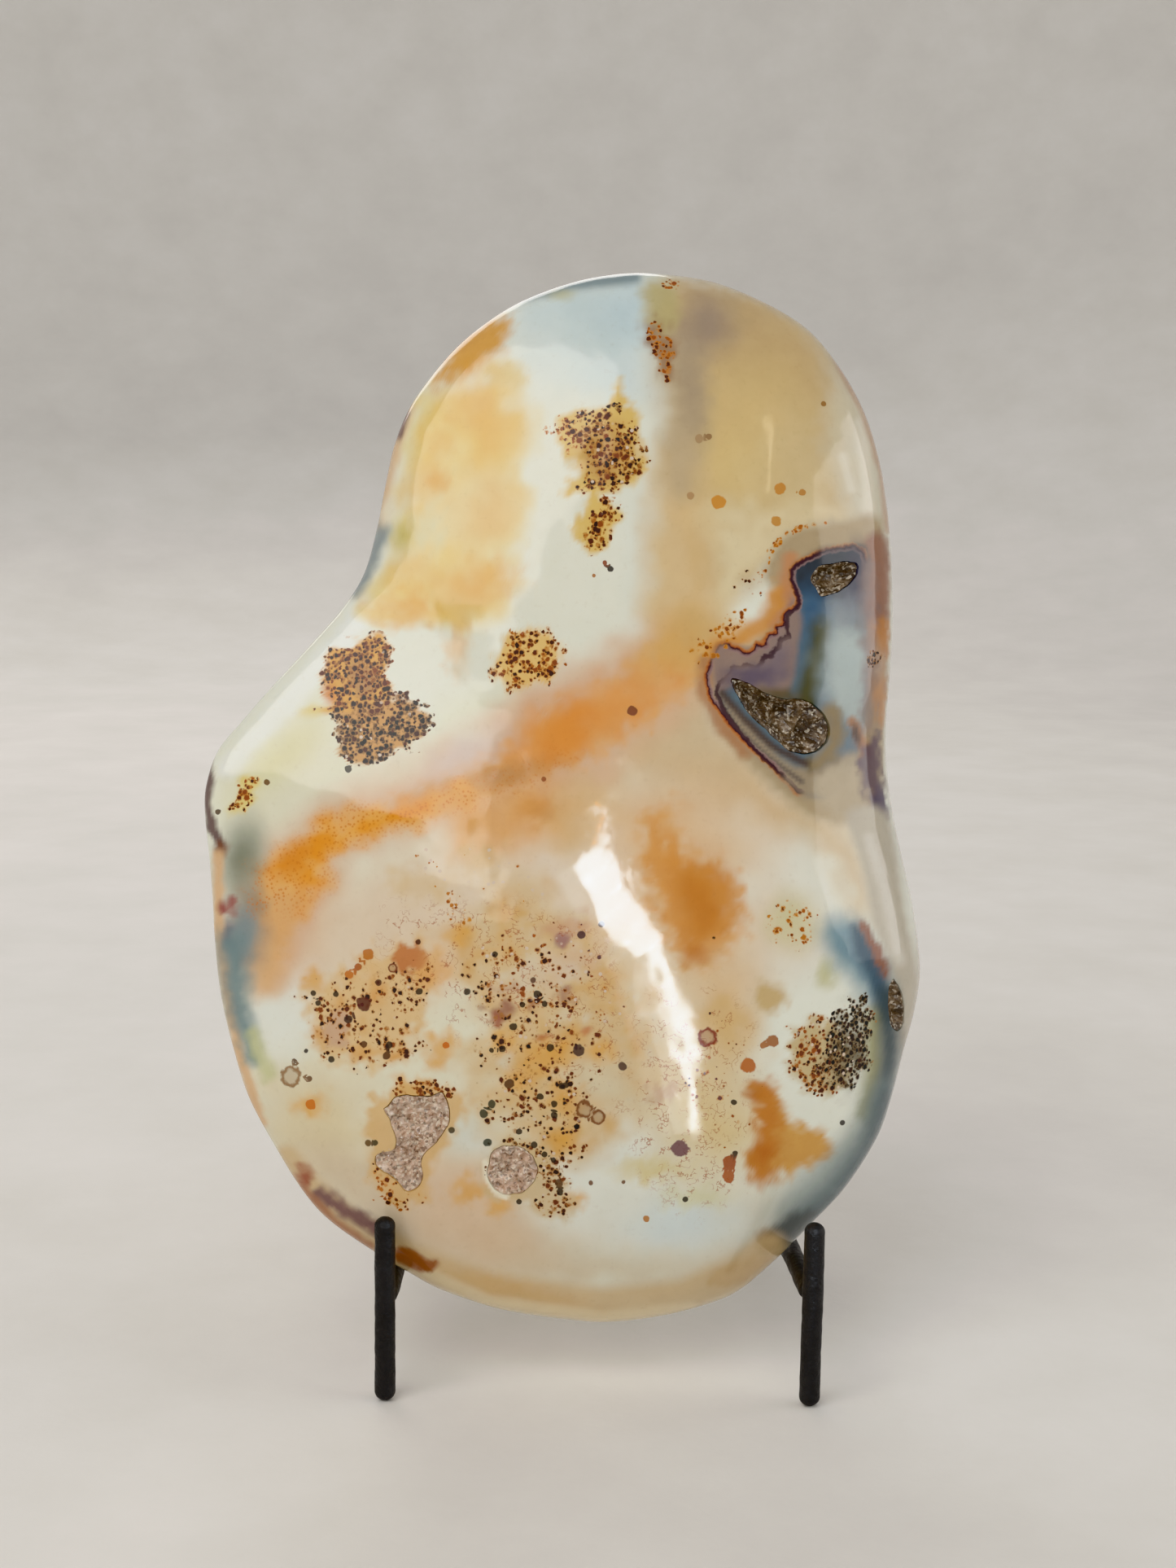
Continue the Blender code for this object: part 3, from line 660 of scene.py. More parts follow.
# The blue agate eye at the right, with its halo and its brown surroundings.
EYE = [
    (Patch([(1082, 640), (1030, 640), (985, 648), (958, 664), (944, 688), (942, 712), (952, 730),
        (944, 760), (920, 790), (890, 812), (874, 838), (880, 880), (920, 940), (990, 1000), (1040, 1010),
        (1080, 990), (1092, 900), (1094, 760)], 9, 0.25), (176, 158, 128), 1.0),
    (Stroke([(958, 728), (942, 762), (905, 786), (880, 796)], 12, 10, 0.8), (206, 144, 72), 0.9),
    (Stroke([(972, 686), (966, 712), (972, 742), (955, 765)], 9, 8, 0.8), (194, 138, 98), 0.85),
    (Stroke([(868, 812), (866, 850), (882, 886), (915, 925)], 9, 8, 0.8), (172, 124, 88), 0.85),
    (Stroke([(884, 800), (886, 840), (905, 880), (940, 920)], 7, 7, 0.7), (128, 112, 104), 0.85),
    (Patch([(1062, 660), (1092, 665), (1094, 760), (1060, 760), (1066, 700)], 8), (146, 106, 88), 0.95),
    (Patch([(1062, 764), (1092, 762), (1092, 812), (1066, 812)], 6, 0.4), (186, 126, 68), 0.95),
    (Patch([(1068, 812), (1092, 812), (1088, 900), (1078, 880)], 6, 0.4), (188, 138, 92), 0.95),
    (Patch(INNER_EYE, 4, 0.0), (96, 114, 126), 1.0),
    (Patch([(1052, 668), (1003, 678), (976, 696), (980, 728), (1008, 735), (1040, 735), (1066, 720),
        (1066, 680)], 6, 0.2), (58, 64, 74), 0.95),
    (Spot(1052, 716, 12, 42, 0, 0.8), (62, 62, 82), 0.9),
    (Spot(996, 752, 20, 30, 0, 0.9), (70, 100, 130), 0.95),
    (Spot(986, 788, 14, 26, 0, 0.9), (88, 112, 132), 0.8),
    (Patch([(979, 745), (966, 752), (950, 775), (925, 795), (895, 790), (876, 806), (880, 850),
        (905, 842), (935, 852), (968, 850), (980, 800), (984, 765)], 5, 0.1), (148, 128, 120), 0.95),
    (Spot(924, 830, 34, 12, -8, 0.8, 0.5), (96, 88, 108), 0.85),
    (Spot(958, 812, 14, 24, 10, 0.9), (124, 112, 122), 0.8),
    (Stroke([(1008, 772), (1006, 800), (996, 835), (992, 862)], 11, 11, 0.9), (82, 80, 46), 0.95),
    (Spot(958, 853, 26, 8, 6, 0.8), (98, 86, 58), 0.85),
    (Patch([(1026, 775), (1046, 770), (1062, 790), (1064, 880), (1048, 890), (1026, 865), (1018, 820)],
        12, 0.2), (160, 172, 170), 1.0),
    (Spot(1042, 748, 20, 22, 0, 0.95, 0.5), (112, 118, 130), 0.9),
    (Spot(1040, 812, 30, 44, -8, 0.95, 0.5), (172, 186, 186), 0.75),
    (Stroke([(1066, 700), (1068, 760), (1070, 830), (1068, 890)], 9, 9, 0.95, 0.5), (140, 118, 112), 0.7),
    (Patch([(884, 855), (905, 872), (930, 900), (960, 930), (1000, 945), (1040, 925), (1056, 935),
        (1030, 975), (985, 978), (950, 948), (915, 914)], 8, 0.2), (160, 146, 124), 1.0),
    (Stroke([(1022, 872), (1028, 900), (1020, 925), (1000, 938)], 10, 10, 0.9), (132, 110, 64), 0.9),
    (Stroke([(888, 852), (914, 882), (948, 916), (990, 938)], 5, 4, 0.8, 0.1), (84, 70, 66), 0.9),
    (Stroke([(884, 866), (910, 898), (944, 930), (985, 960)], 3, 3, 0.8, 0.1), (98, 90, 88), 0.8),
    (Patch([(1000, 960), (1046, 935), (1060, 960), (1062, 1000), (1030, 1010)], 12), (182, 168, 142),
        0.9),
    (Stroke([(1048, 885), (1056, 905), (1062, 925)], 5, 8, 0.7), (156, 102, 52), 0.9),
    (Spot(1052, 903, 4, 13, -12, 0.6), (60, 34, 22), 0.9),
    (Patch([(1060, 915), (1080, 900), (1084, 940), (1092, 1000), (1076, 1004), (1064, 975), (1056, 940)],
        7, 0.6), (98, 80, 94), 0.9),
    (Spot(1080, 985, 10, 16, 0, 0.8, 0.6), (78, 72, 98), 0.7),
]

# The right flank, the amber rim along the bottom and the left edge, with a painted reflection on the right
# flank, painted shade towards the lower right and lower left edges, and a painted glow and rim light on
# the bottom rim.
EDGES = [
    # The pale grey right flank: partly the stone's own grey, partly a painted reflection.
    (Patch([(1040, 1000), (1090, 1000), (1112, 1120), (1130, 1210), (1120, 1290), (1104, 1290),
        (1094, 1200), (1072, 1130), (1058, 1060)], 8, 0.1), (186, 178, 162), 1.0),
    # Painted reflection: a lighter band down the right flank.
    (Stroke([(1068, 1030), (1086, 1090), (1106, 1180)], 7, 7, 0.9, 0.1), (206, 202, 190), 0.8),
    (Patch([(1026, 1126), (1054, 1132), (1074, 1166), (1090, 1200), (1094, 1250), (1070, 1236),
        (1046, 1204), (1024, 1180), (1010, 1150)], 20, 0.15), (126, 154, 166), 1.0),
    (Patch([(1046, 1136), (1060, 1140), (1080, 1172), (1093, 1205), (1092, 1256), (1078, 1238),
        (1064, 1200), (1048, 1166)], 10, 0.15), (58, 84, 104), 0.95),
    (Stroke([(1076, 1250), (1074, 1320), (1064, 1370)], 12, 10, 0.9, 0.2), (150, 148, 102), 0.85),
    (Stroke([(1090, 1224), (1094, 1290), (1088, 1360)], 13, 14, 0.9, 0.1), (54, 72, 80), 0.95),
    # Painted shade: grey-blue bands darken the lower right flank towards its edge.
    (Stroke([(1088, 1350), (1062, 1410), (1026, 1465), (985, 1502)], 22, 28, 0.95, 0.1), (112, 128, 130),
        0.9),
    (Stroke([(1092, 1350), (1070, 1412), (1034, 1470), (1000, 1500)], 12, 15, 0.9, 0.1), (74, 90, 96),
        0.9),
    (Patch([(930, 1532), (950, 1505), (980, 1488), (1004, 1490), (980, 1522), (950, 1540)], 7, 0.2),
        (76, 82, 82), 0.95),
    (Spot(940, 1525, 14, 12, -40, 0.8), (130, 96, 70), 0.7),
    (Patch([(866, 1576), (890, 1556), (925, 1542), (960, 1546), (930, 1566), (895, 1580)], 5),
        (182, 140, 108), 0.9),
    (Patch([(1056, 1128), (1066, 1140), (1086, 1170), (1092, 1200), (1080, 1190), (1064, 1160)], 4),
        (142, 92, 70), 0.95),
    # The amber along the bottom rim: the stone's own amber, partly a painted glow.
    (Stroke([(352, 1425), (380, 1462), (430, 1505), (500, 1545), (600, 1584), (740, 1604), (840, 1594),
        (905, 1566), (945, 1538)], 18, 24, 0.45, 0.05), (206, 180, 138), 0.85),
    (Spot(620, 1585, 90, 14, 12, 0.9), (206, 170, 118), 0.7),
    # Painted rim light: a pale line along the bottom outline.
    (Stroke([(500, 1552), (600, 1598), (740, 1618), (850, 1606)], 7, 7, 0.8, 0.05), (224, 208, 174), 0.8),
    (Stroke([(395, 1468), (425, 1488), (458, 1508), (470, 1516)], 9, 10, 0.7, 0.4), (124, 92, 92), 0.95),
    (Spot(374, 1444, 9, 13, -35, 0.7, 0.6), (158, 92, 70), 0.95),
    (Stroke([(372, 1458), (410, 1500), (455, 1532)], 5, 6, 0.7, 0.2), (166, 112, 80), 0.85),
    (Patch([(488, 1530), (515, 1540), (542, 1552), (520, 1560), (490, 1550)], 4), (150, 82, 34), 0.95),
    (Stroke([(256, 935), (254, 990), (260, 1018), (272, 1036)], 6, 5, 0.6), (92, 64, 66), 0.9),
    (Spot(272, 1042, 8, 10, 0, 0.7, 0.4), (122, 74, 46), 0.9),
    (Stroke([(268, 1050), (268, 1120), (276, 1190), (292, 1290), (320, 1380)], 7, 7, 0.7, 0.2),
        (214, 176, 134), 0.9),
    (Spot(279, 1113, 10, 10, 0, 0.7, 0.5), (150, 80, 76), 0.95),
    (Spot(282, 1150, 7, 16, 0, 0.8, 0.5), (112, 88, 108), 0.85),
    # Painted shade: blue-grey darkening along the lower left edge.
    (Spot(299, 1145, 14, 26, 5, 0.8, 0.2), (136, 148, 150), 0.9),
    (Stroke([(284, 1160), (294, 1240), (312, 1300)], 18, 10, 0.95, 0.2), (112, 136, 140), 0.9),
    (Stroke([(310, 1270), (330, 1320)], 9, 9, 0.9), (196, 198, 150), 0.8),
]

# Fields of fine brown threads.
THREAD_FIELDS = [
    Patch([(800, 1220), (900, 1230), (915, 1320), (910, 1460), (830, 1480), (770, 1400), (780, 1300)],
        24, 0.8),
    Patch([(480, 1110), (620, 1120), (740, 1150), (760, 1300), (690, 1340), (560, 1260), (470, 1200)],
        24, 0.8),
]

# Clusters: a shape, the density of specks, their tone and the share of white. The white is crystals, and
# in the first two fields painted glints.
SPECKS = [
    # Painted glints: white flecks, with a few golden specks.
    (Patch([(500, 1030), (600, 1036), (670, 1060), (668, 1110), (560, 1096), (500, 1070)], 14, 0.8), 0.16,
        0.0, 1.2),
    # Brown specks with painted glints among them.
    (Patch([(600, 1150), (700, 1130), (760, 1190), (760, 1260), (680, 1250), (610, 1220)], 16, 0.8), 0.26,
        0.4, 0.8),
    (Patch([(706, 516), (740, 500), (770, 515), (788, 540), (786, 578), (762, 596), (735, 606),
        (705, 604), (722, 590), (710, 560)], 8, 0.9), 1.1, 0.68, 0.22),
    (Patch([(688, 535), (694, 510), (706, 508), (704, 560), (692, 560)], 5, 0.7), 0.8, 0.5, 0.0),
    (Patch([(722, 636), (740, 615), (762, 616), (762, 640), (748, 668), (729, 680), (716, 664)], 6, 0.8),
        0.95, 0.6, 0.05),
    (Patch([(665, 526), (682, 526), (682, 534), (666, 535)], 3, 0.5), 0.95, 0.5, 0.0),
    (Patch([(751, 499), (766, 498), (766, 508), (752, 510)], 3, 0.5), 1.0, 0.85, 0.0),
    (Patch([(402, 807), (425, 792), (462, 780), (478, 797), (478, 840), (492, 862), (460, 880),
        (415, 880), (388, 876), (402, 862), (398, 830)], 8, 0.9), 1.35, 0.68, 0.05),
    (Patch([(415, 880), (450, 862), (485, 856), (510, 866), (530, 870), (530, 886), (508, 914),
        (472, 935), (450, 942), (432, 935), (415, 922)], 7, 0.9), 1.5, 0.88, 0.1),
    (Patch([(604, 815), (614, 790), (628, 776), (665, 774), (690, 788), (687, 828), (668, 838),
        (628, 848), (604, 835)], 6, 0.9), 0.95, 0.56, 0.05),
    (Patch([(294, 952), (313, 958), (316, 973), (303, 994), (280, 1000), (284, 985)], 4, 0.7), 0.85, 0.55,
        0.0),
    (Spot(972, 1132, 26, 30, 0, 0.5, 0.5), 0.5, 0.3, 0.0),
    (Patch([(1026, 1245), (1046, 1230), (1066, 1232), (1068, 1290), (1060, 1312), (1046, 1338),
        (1022, 1330), (1010, 1300), (1020, 1270)], 8, 0.9), 1.8, 1.0, 0.18),
    (Patch([(975, 1262), (1010, 1250), (1025, 1300), (1030, 1345), (1000, 1345), (968, 1320)], 8, 0.8),
        0.8, 0.6, 0.2),
    (Patch([(385, 1215), (460, 1195), (530, 1180), (530, 1230), (500, 1300), (430, 1310), (382, 1280)],
        16, 0.9), 0.52, 0.66, 0.12),
    (Patch([(560, 1180), (640, 1150), (700, 1170), (740, 1260), (720, 1400), (690, 1430), (640, 1400),
        (600, 1380), (590, 1300), (580, 1230)], 22, 0.8), 0.42, 0.72, 0.25),
    (Patch([(660, 1430), (690, 1420), (705, 1480), (690, 1496), (655, 1470)], 8, 0.8), 0.7, 0.7, 0.2),
    (Patch([(596, 1440), (604, 1404), (640, 1396), (668, 1404), (690, 1440), (660, 1452), (640, 1420),
        (612, 1440)], 8, 0.9), 0.55, 0.75, 0.3),
    (Patch([(485, 1330), (550, 1328), (558, 1346), (490, 1348)], 5, 0.8), 0.9, 0.6, 0.0),
    (Patch([(455, 1420), (470, 1410), (485, 1460), (520, 1470), (490, 1484), (460, 1464)], 6, 0.8), 0.75,
        0.5, 0.0),
    (Spot(880, 1330, 50, 90, 0, 0.8, 0.6), 0.28, 0.5, 0.0),
    (Spot(560, 1125, 20, 26, 0, 0.7, 0.5), 0.4, 0.25, 0.0),
    (Stroke([(800, 405), (815, 430), (826, 465)], 12, 8, 0.6, 0.6), 0.85, 0.45, 0.0),
    (Spot(822, 349, 12, 6, 0, 0.6, 0.5), 0.9, 0.5, 0.0),
    (Stroke([(862, 800), (885, 785), (905, 760)], 16, 14, 0.7, 0.5), 0.6, 0.28, 0.0),
    (Stroke([(939, 705), (945, 678), (967, 655), (995, 644), (1015, 645)], 4, 4, 0.7, 0.2), 0.7, 0.3,
        0.0),
    (Spot(918, 725, 26, 34, 30, 0.7, 0.5), 0.34, 0.6, 0.0),
    (Spot(1074, 809, 11, 7, -20, 0.6, 0.4), 1.2, 0.8, 0.0),
]

# Single dots and rings: x, y and radius in pixels, the colour, and 1 for a ring.
DOTS = [
    (883, 617, 8, (206, 142, 60), 0), (958, 600, 7, (198, 138, 66), 0),
    (986, 605, 4, (186, 132, 70), 0), (954, 640, 6, (196, 140, 66), 0),
    (1012, 496, 3, (150, 108, 56), 0), (859, 539, 5, (172, 144, 108), 0),
    (871, 536, 4, (150, 118, 84), 0), (849, 609, 4.5, (178, 144, 104), 0),
    (750, 699, 3.5, INK, 0), (743, 691, 3, RUST, 0), (730, 707, 2.5, (170, 110, 50), 0),
    (428, 944, 4.5, INK, 0), (777, 873, 6, (126, 76, 62), 0), (668, 957, 3, (150, 90, 60), 0),
    (447, 1233, 9, (88, 34, 32), 0), (452, 1172, 7, (184, 110, 40), 0),
    (440, 1188, 4.5, (166, 88, 34), 0), (429, 1197, 5, (190, 110, 40), 0),
    (483, 1189, 6, (112, 50, 34), 1), (357, 1322, 13, (146, 110, 74), 1),
    (382, 1357, 6, (200, 112, 36), 0), (548, 1284, 4, (196, 102, 30), 0),
    (718, 1363, 11, (118, 66, 34), 1), (735, 1372, 9, (118, 66, 34), 1),
    (870, 1274, 12, (130, 42, 38), 1), (919, 1309, 9, (182, 100, 34), 0),
    (949, 1279, 7.5, (158, 96, 44), 0), (938, 1284, 4, (166, 104, 50), 0),
    (896, 1427, 8, (158, 74, 28), 0), (895, 1445, 7.5, (170, 88, 34), 0),
    (903, 1417, 3.5, (44, 24, 24), 0), (836, 1411, 10, (116, 78, 88), 0),
    (902, 1354, 3.5, INK, 0), (1035, 1379, 3, INK, 0), (842, 1473, 3, INK, 0),
    (766, 1452, 2.5, BROWN, 0), (726, 1453, 3, BROWN, 0), (877, 1152, 2, INK, 0),
    (794, 1497, 4, (182, 120, 50), 0), (328, 961, 3.5, (110, 74, 36), 0),
    (268, 997, 3.5, (84, 62, 40), 0), (574, 1218, 4, INK, 0), (660, 1221, 4.5, INK, 0),
    (669, 1233, 4, INK, 0), (631, 1261, 5, INK, 0), (617, 1288, 4, INK, 0),
    (676, 1287, 4.5, INK, 0), (711, 1290, 7, (70, 50, 52), 0), (765, 1310, 5, (84, 60, 56), 0),
    (626, 1331, 6, (80, 46, 28), 0), (664, 1347, 4, INK, 0), (681, 1356, 4, INK, 0),
    (690, 1334, 4, INK, 0), (696, 1333, 3.5, INK, 0), (604, 1356, 5, (52, 58, 46), 0),
    (594, 1368, 5, (52, 58, 46), 0), (599, 1403, 5, (46, 56, 46), 0), (638, 1390, 4, INK, 0),
    (656, 1406, 4, INK, 0), (681, 1370, 4, INK, 0), (669, 1418, 3.5, INK, 0),
    (680, 1425, 3.5, INK, 0), (687, 1453, 5, (90, 60, 36), 0), (688, 1464, 4, INK, 0),
    (638, 1476, 3.5, INK, 0), (385, 1220, 3.5, INK, 0), (413, 1221, 3.5, INK, 0),
    (391, 1232, 3.5, INK, 0), (514, 1157, 3.5, (70, 30, 28), 0), (515, 1218, 4, INK, 0),
    (465, 1207, 4, (80, 40, 30), 0), (428, 1252, 5, (60, 40, 36), 0), (478, 1284, 4.5, INK, 0),
    (475, 1297, 4.5, (80, 44, 26), 0), (447, 1283, 4, (90, 50, 30), 0), (407, 1301, 4, INK, 0),
    (376, 1291, 2.5, INK, 0), (362, 1303, 3, (90, 60, 36), 0), (380, 1325, 3.5, (110, 76, 50), 0),
    (604, 1290, 3, INK, 0), (642, 1234, 3.5, INK, 0), (655, 1204, 3.5, (90, 60, 50), 0),
    (608, 1172, 3.5, INK, 0), (739, 1135, 4, (84, 60, 60), 0), (714, 1148, 5, (76, 50, 60), 0),
    (452, 1404, 4, (96, 66, 30), 0), (461, 1404, 3.5, (60, 56, 40), 0), (555, 1388, 4, (70, 60, 40), 0),
]


class Canvas:
    """Points to be painted, in photo pixels with depth, and what has been laid on them."""

    # The noise that bends edges comes in these sizes, and two more sizes break stains up.
    SIZES = (12, 34, 90)
    FINE_SIZE = 26
    BROAD_SIZE = 90

    # How far it bends an edge at most: this many of the stain's sizes, and a few pixels.
    WANDER = 1.6
    FRAY_PX = 6
    LEAST_SIZE = 10

    def __init__(self, points, ground):
        self.points = points
        self.colour = np.tile(linear(ground), (len(points), 1))
        self.marks = np.zeros((len(points), 3))
        self.grain = np.zeros(len(points))
        self.edge = np.zeros(len(points))
        self.threads = np.zeros(len(points))
        self.fine = cloud(points, self.FINE_SIZE, 3, 5)
        self.broad = cloud(points, self.BROAD_SIZE, 2, 9)
        self.shifts = {}
        for size in self.SIZES:
            fields = [cloud(points, size, 2, 11 * size + k) for k in (0, 20)]
            self.shifts[size] = np.column_stack(fields)

    def near(self, path, reach, size, ragged):
        """Which points lie by a path, and where soft noise moves them to."""
        flat = self.points[:, :2]
        path = np.asarray(path, float)
        low, high = path.min(axis=0) - reach, path.max(axis=0) + reach
        index = np.flatnonzero(np.all((flat > low) & (flat < high), axis=1))
        scale = min(self.SIZES, key=lambda known: abs(math.log(known / size)))
        shift = size * self.WANDER * self.shifts[scale][index]
        shift = shift + self.FRAY_PX * self.shifts[self.SIZES[0]][index]
        return index, flat[index] + ragged * shift

    def spot_mask(self, x, y, half_x, half_y, turn, soft, ragged):
        """A rounded stain's points and their mask: 1 inside, 0 outside."""
        size = min(half_x, half_y)
        index, spots = self.near([(x, y)], max(half_x, half_y) * (1 + soft) + size, size, ragged)
        angle = math.radians(turn)
        dx, dy = spots[:, 0] - x, spots[:, 1] - y
        along = (dx * math.cos(angle) + dy * math.sin(angle)) / half_x
        across = (dy * math.cos(angle) - dx * math.sin(angle)) / half_y
        return index, 1 - smooth(1 - soft, 1 + soft, np.hypot(along, across))

    def stroke_mask(self, path, start_width, end_width, soft, ragged):
        """A band's points and their mask. Widths are from its middle to its edge."""
        widest = max(start_width, end_width)
        index, spots = self.near(path, widest * (2 + soft), widest, ragged)
        off, share = way_off(spots, path)
        half = start_width + (end_width - start_width) * share
        return index, 1 - smooth(1 - soft, 1 + soft, off / half)

    def patch_mask(self, outline, soft, ragged):
        """The points in an outline and their mask, which fades over soft pixels."""
        curve = closed_spline(outline, 4)
        size = max(soft, self.LEAST_SIZE)
        index, spots = self.near(curve, soft * 2 + self.LEAST_SIZE, size, ragged)
        return index, smooth(-soft, soft, inside_by(spots, curve))

    def mask(self, shape):
        """The points near a shape and their mask: 1 inside, 0 outside."""
        masks = {Spot: self.spot_mask, Stroke: self.stroke_mask, Patch: self.patch_mask}
        return masks[type(shape)](*shape)

    def lay(self, shape, colour, strength, broken=None):
        """Glazes a colour over a shape, broken up by noise if that is given."""
        index, mask = self.mask(shape)
        if broken is not None:
            mask = mask * broken(self)[index]
        share = np.clip(mask * strength, 0, 1)[:, None]
        self.colour[index] += (linear(colour) - self.colour[index]) * share

    def lift(self, field, shape, strength=1.0):
        """Brings a field up to a shape's mask where it is lower."""
        index, mask = self.mask(shape)
        field[index] = np.maximum(field[index], strength * mask)

    def scatter(self, shape, density, tone, white):
        """Strews specks over a shape. Tone runs from 0, golden, to 1, black."""
        index, mask = self.mask(shape)
        new = mask * density
        marks = self.marks[index]
        share = (new / (new + marks[:, 0] + 1e-6))[:, None]
        marks[:, 1:] += (np.array([tone, white]) - marks[:, 1:]) * share
        marks[:, 0] = np.maximum(marks[:, 0], new)
        self.marks[index] = marks


# Dots farther off than this many of their radii are all taken as this far.
DOT_REACH = 9


def dot_values(points):
    """For each point, where it lies from its nearest dot in that dot's radii, and its colour."""
    spots = np.array([dot[:2] for dot in DOTS], float)
    radii = np.array([dot[2] for dot in DOTS], float)
    offsets = (points[:, None, :2] - spots[None]) / radii[None, :, None]
    lengths = np.hypot(offsets[..., 0], offsets[..., 1])
    nearest = lengths.argmin(axis=1)
    pick = np.arange(len(points))
    length = np.minimum(lengths[pick, nearest], DOT_REACH)
    kinds = np.array([dot[4] for dot in DOTS], float)[nearest]
    where = np.column_stack([np.clip(offsets[pick, nearest], -DOT_REACH, DOT_REACH), length, kinds])
    colours = np.array([linear(dot[3]) for dot in DOTS])[nearest]
    return where, np.column_stack([colours, np.ones(len(points))])


def photo_places(mesh, turn, centre):
    """The mesh's vertices as photo pixels, with depth away from the eye as a third value."""
    own = (mesh_points(mesh) - np.array(centre)) @ np.array(turn) / MM
    seen = own[:, :2] / (1 - own[:, 2:] / EYE_MM)
    x = PHOTO_MIDDLE[0] + PX_PER_MM * seen[:, 0]
    y = PHOTO_MIDDLE[1] - PX_PER_MM * seen[:, 1]
    return np.column_stack([x, y, -PX_PER_MM * own[:, 2]])


def write_values(mesh, name, values):
    """Keeps four values at each vertex, for the material to read."""
    layer = mesh.attributes.new(name, "FLOAT_COLOR", "POINT")
    layer.data.foreach_set("color", np.asarray(values, np.float32).ravel())


# Over this depth behind the stone's middle plane, in photo pixels, noise of this reach and size
# comes to bend the markings, and the specks fade by this share.
BEHIND_PX = 120
BEND_PX = 150
BEND_SIZE_PX = 260
BEHIND_FADE = 0.45

# How far the eye's lines fade in their gaps, and the photo pixels to a unit of their distance.
GAP_STRENGTH = 0.7
BAND_SCALE = 10


def paint_stone(mesh, turn, centre):
    """Lays every marking on the stone."""
    places = photo_places(mesh, turn, centre)
    behind = smooth(0, BEHIND_PX, places[:, 2])
    for axis in (0, 1):
        places[:, axis] += behind * BEND_PX * cloud(places, BEND_SIZE_PX, 2, 40 + axis)
    c = Canvas(places, MILK)
    for stains in (GROUNDS, UPPER_LEFT, HONEY_SIDE, RIVER, RIGHT_CLOUDS, LOWER_LOBE,
                   CLUSTER_GROUNDS, EYE, EDGES):
        for stain in stains:
            c.lay(*stain)
    for specks in SPECKS:
        c.scatter(*specks)
    c.lift(c.grain, GRAIN_BAND)
    c.lift(c.grain, GRAIN_TAIL, 0.5)
    for field in THREAD_FIELDS:
        c.lift(c.threads, field)
    c.lift(c.edge, EYE_CONTOUR)
    for gap in CONTOUR_GAPS:
        index, mask = c.mask(gap)
        c.edge[index] *= 1 - GAP_STRENGTH * mask
    c.edge *= 1 - behind
    c.marks[:, 0] *= 1 - BEHIND_FADE * behind
    inner = inside_by(places[:, :2], INNER_EYE)
    outer = inside_by(places[:, :2], OUTER_EYE)
    write_values(mesh, "stain", np.column_stack([c.colour, c.edge]))
    write_values(mesh, "marks", np.column_stack([c.marks, np.ones(len(places))]))
    bands = [inner / BAND_SCALE, c.grain, outer / BAND_SCALE, c.threads]
    write_values(mesh, "bands", np.column_stack(bands))
    where, colours = dot_values(places)
    write_values(mesh, "dot_place", where)
    write_values(mesh, "dot_colour", colours)


# Node materials.


def flat(colour):
    """A display colour as a socket takes it."""
    return (*linear(colour), 1)


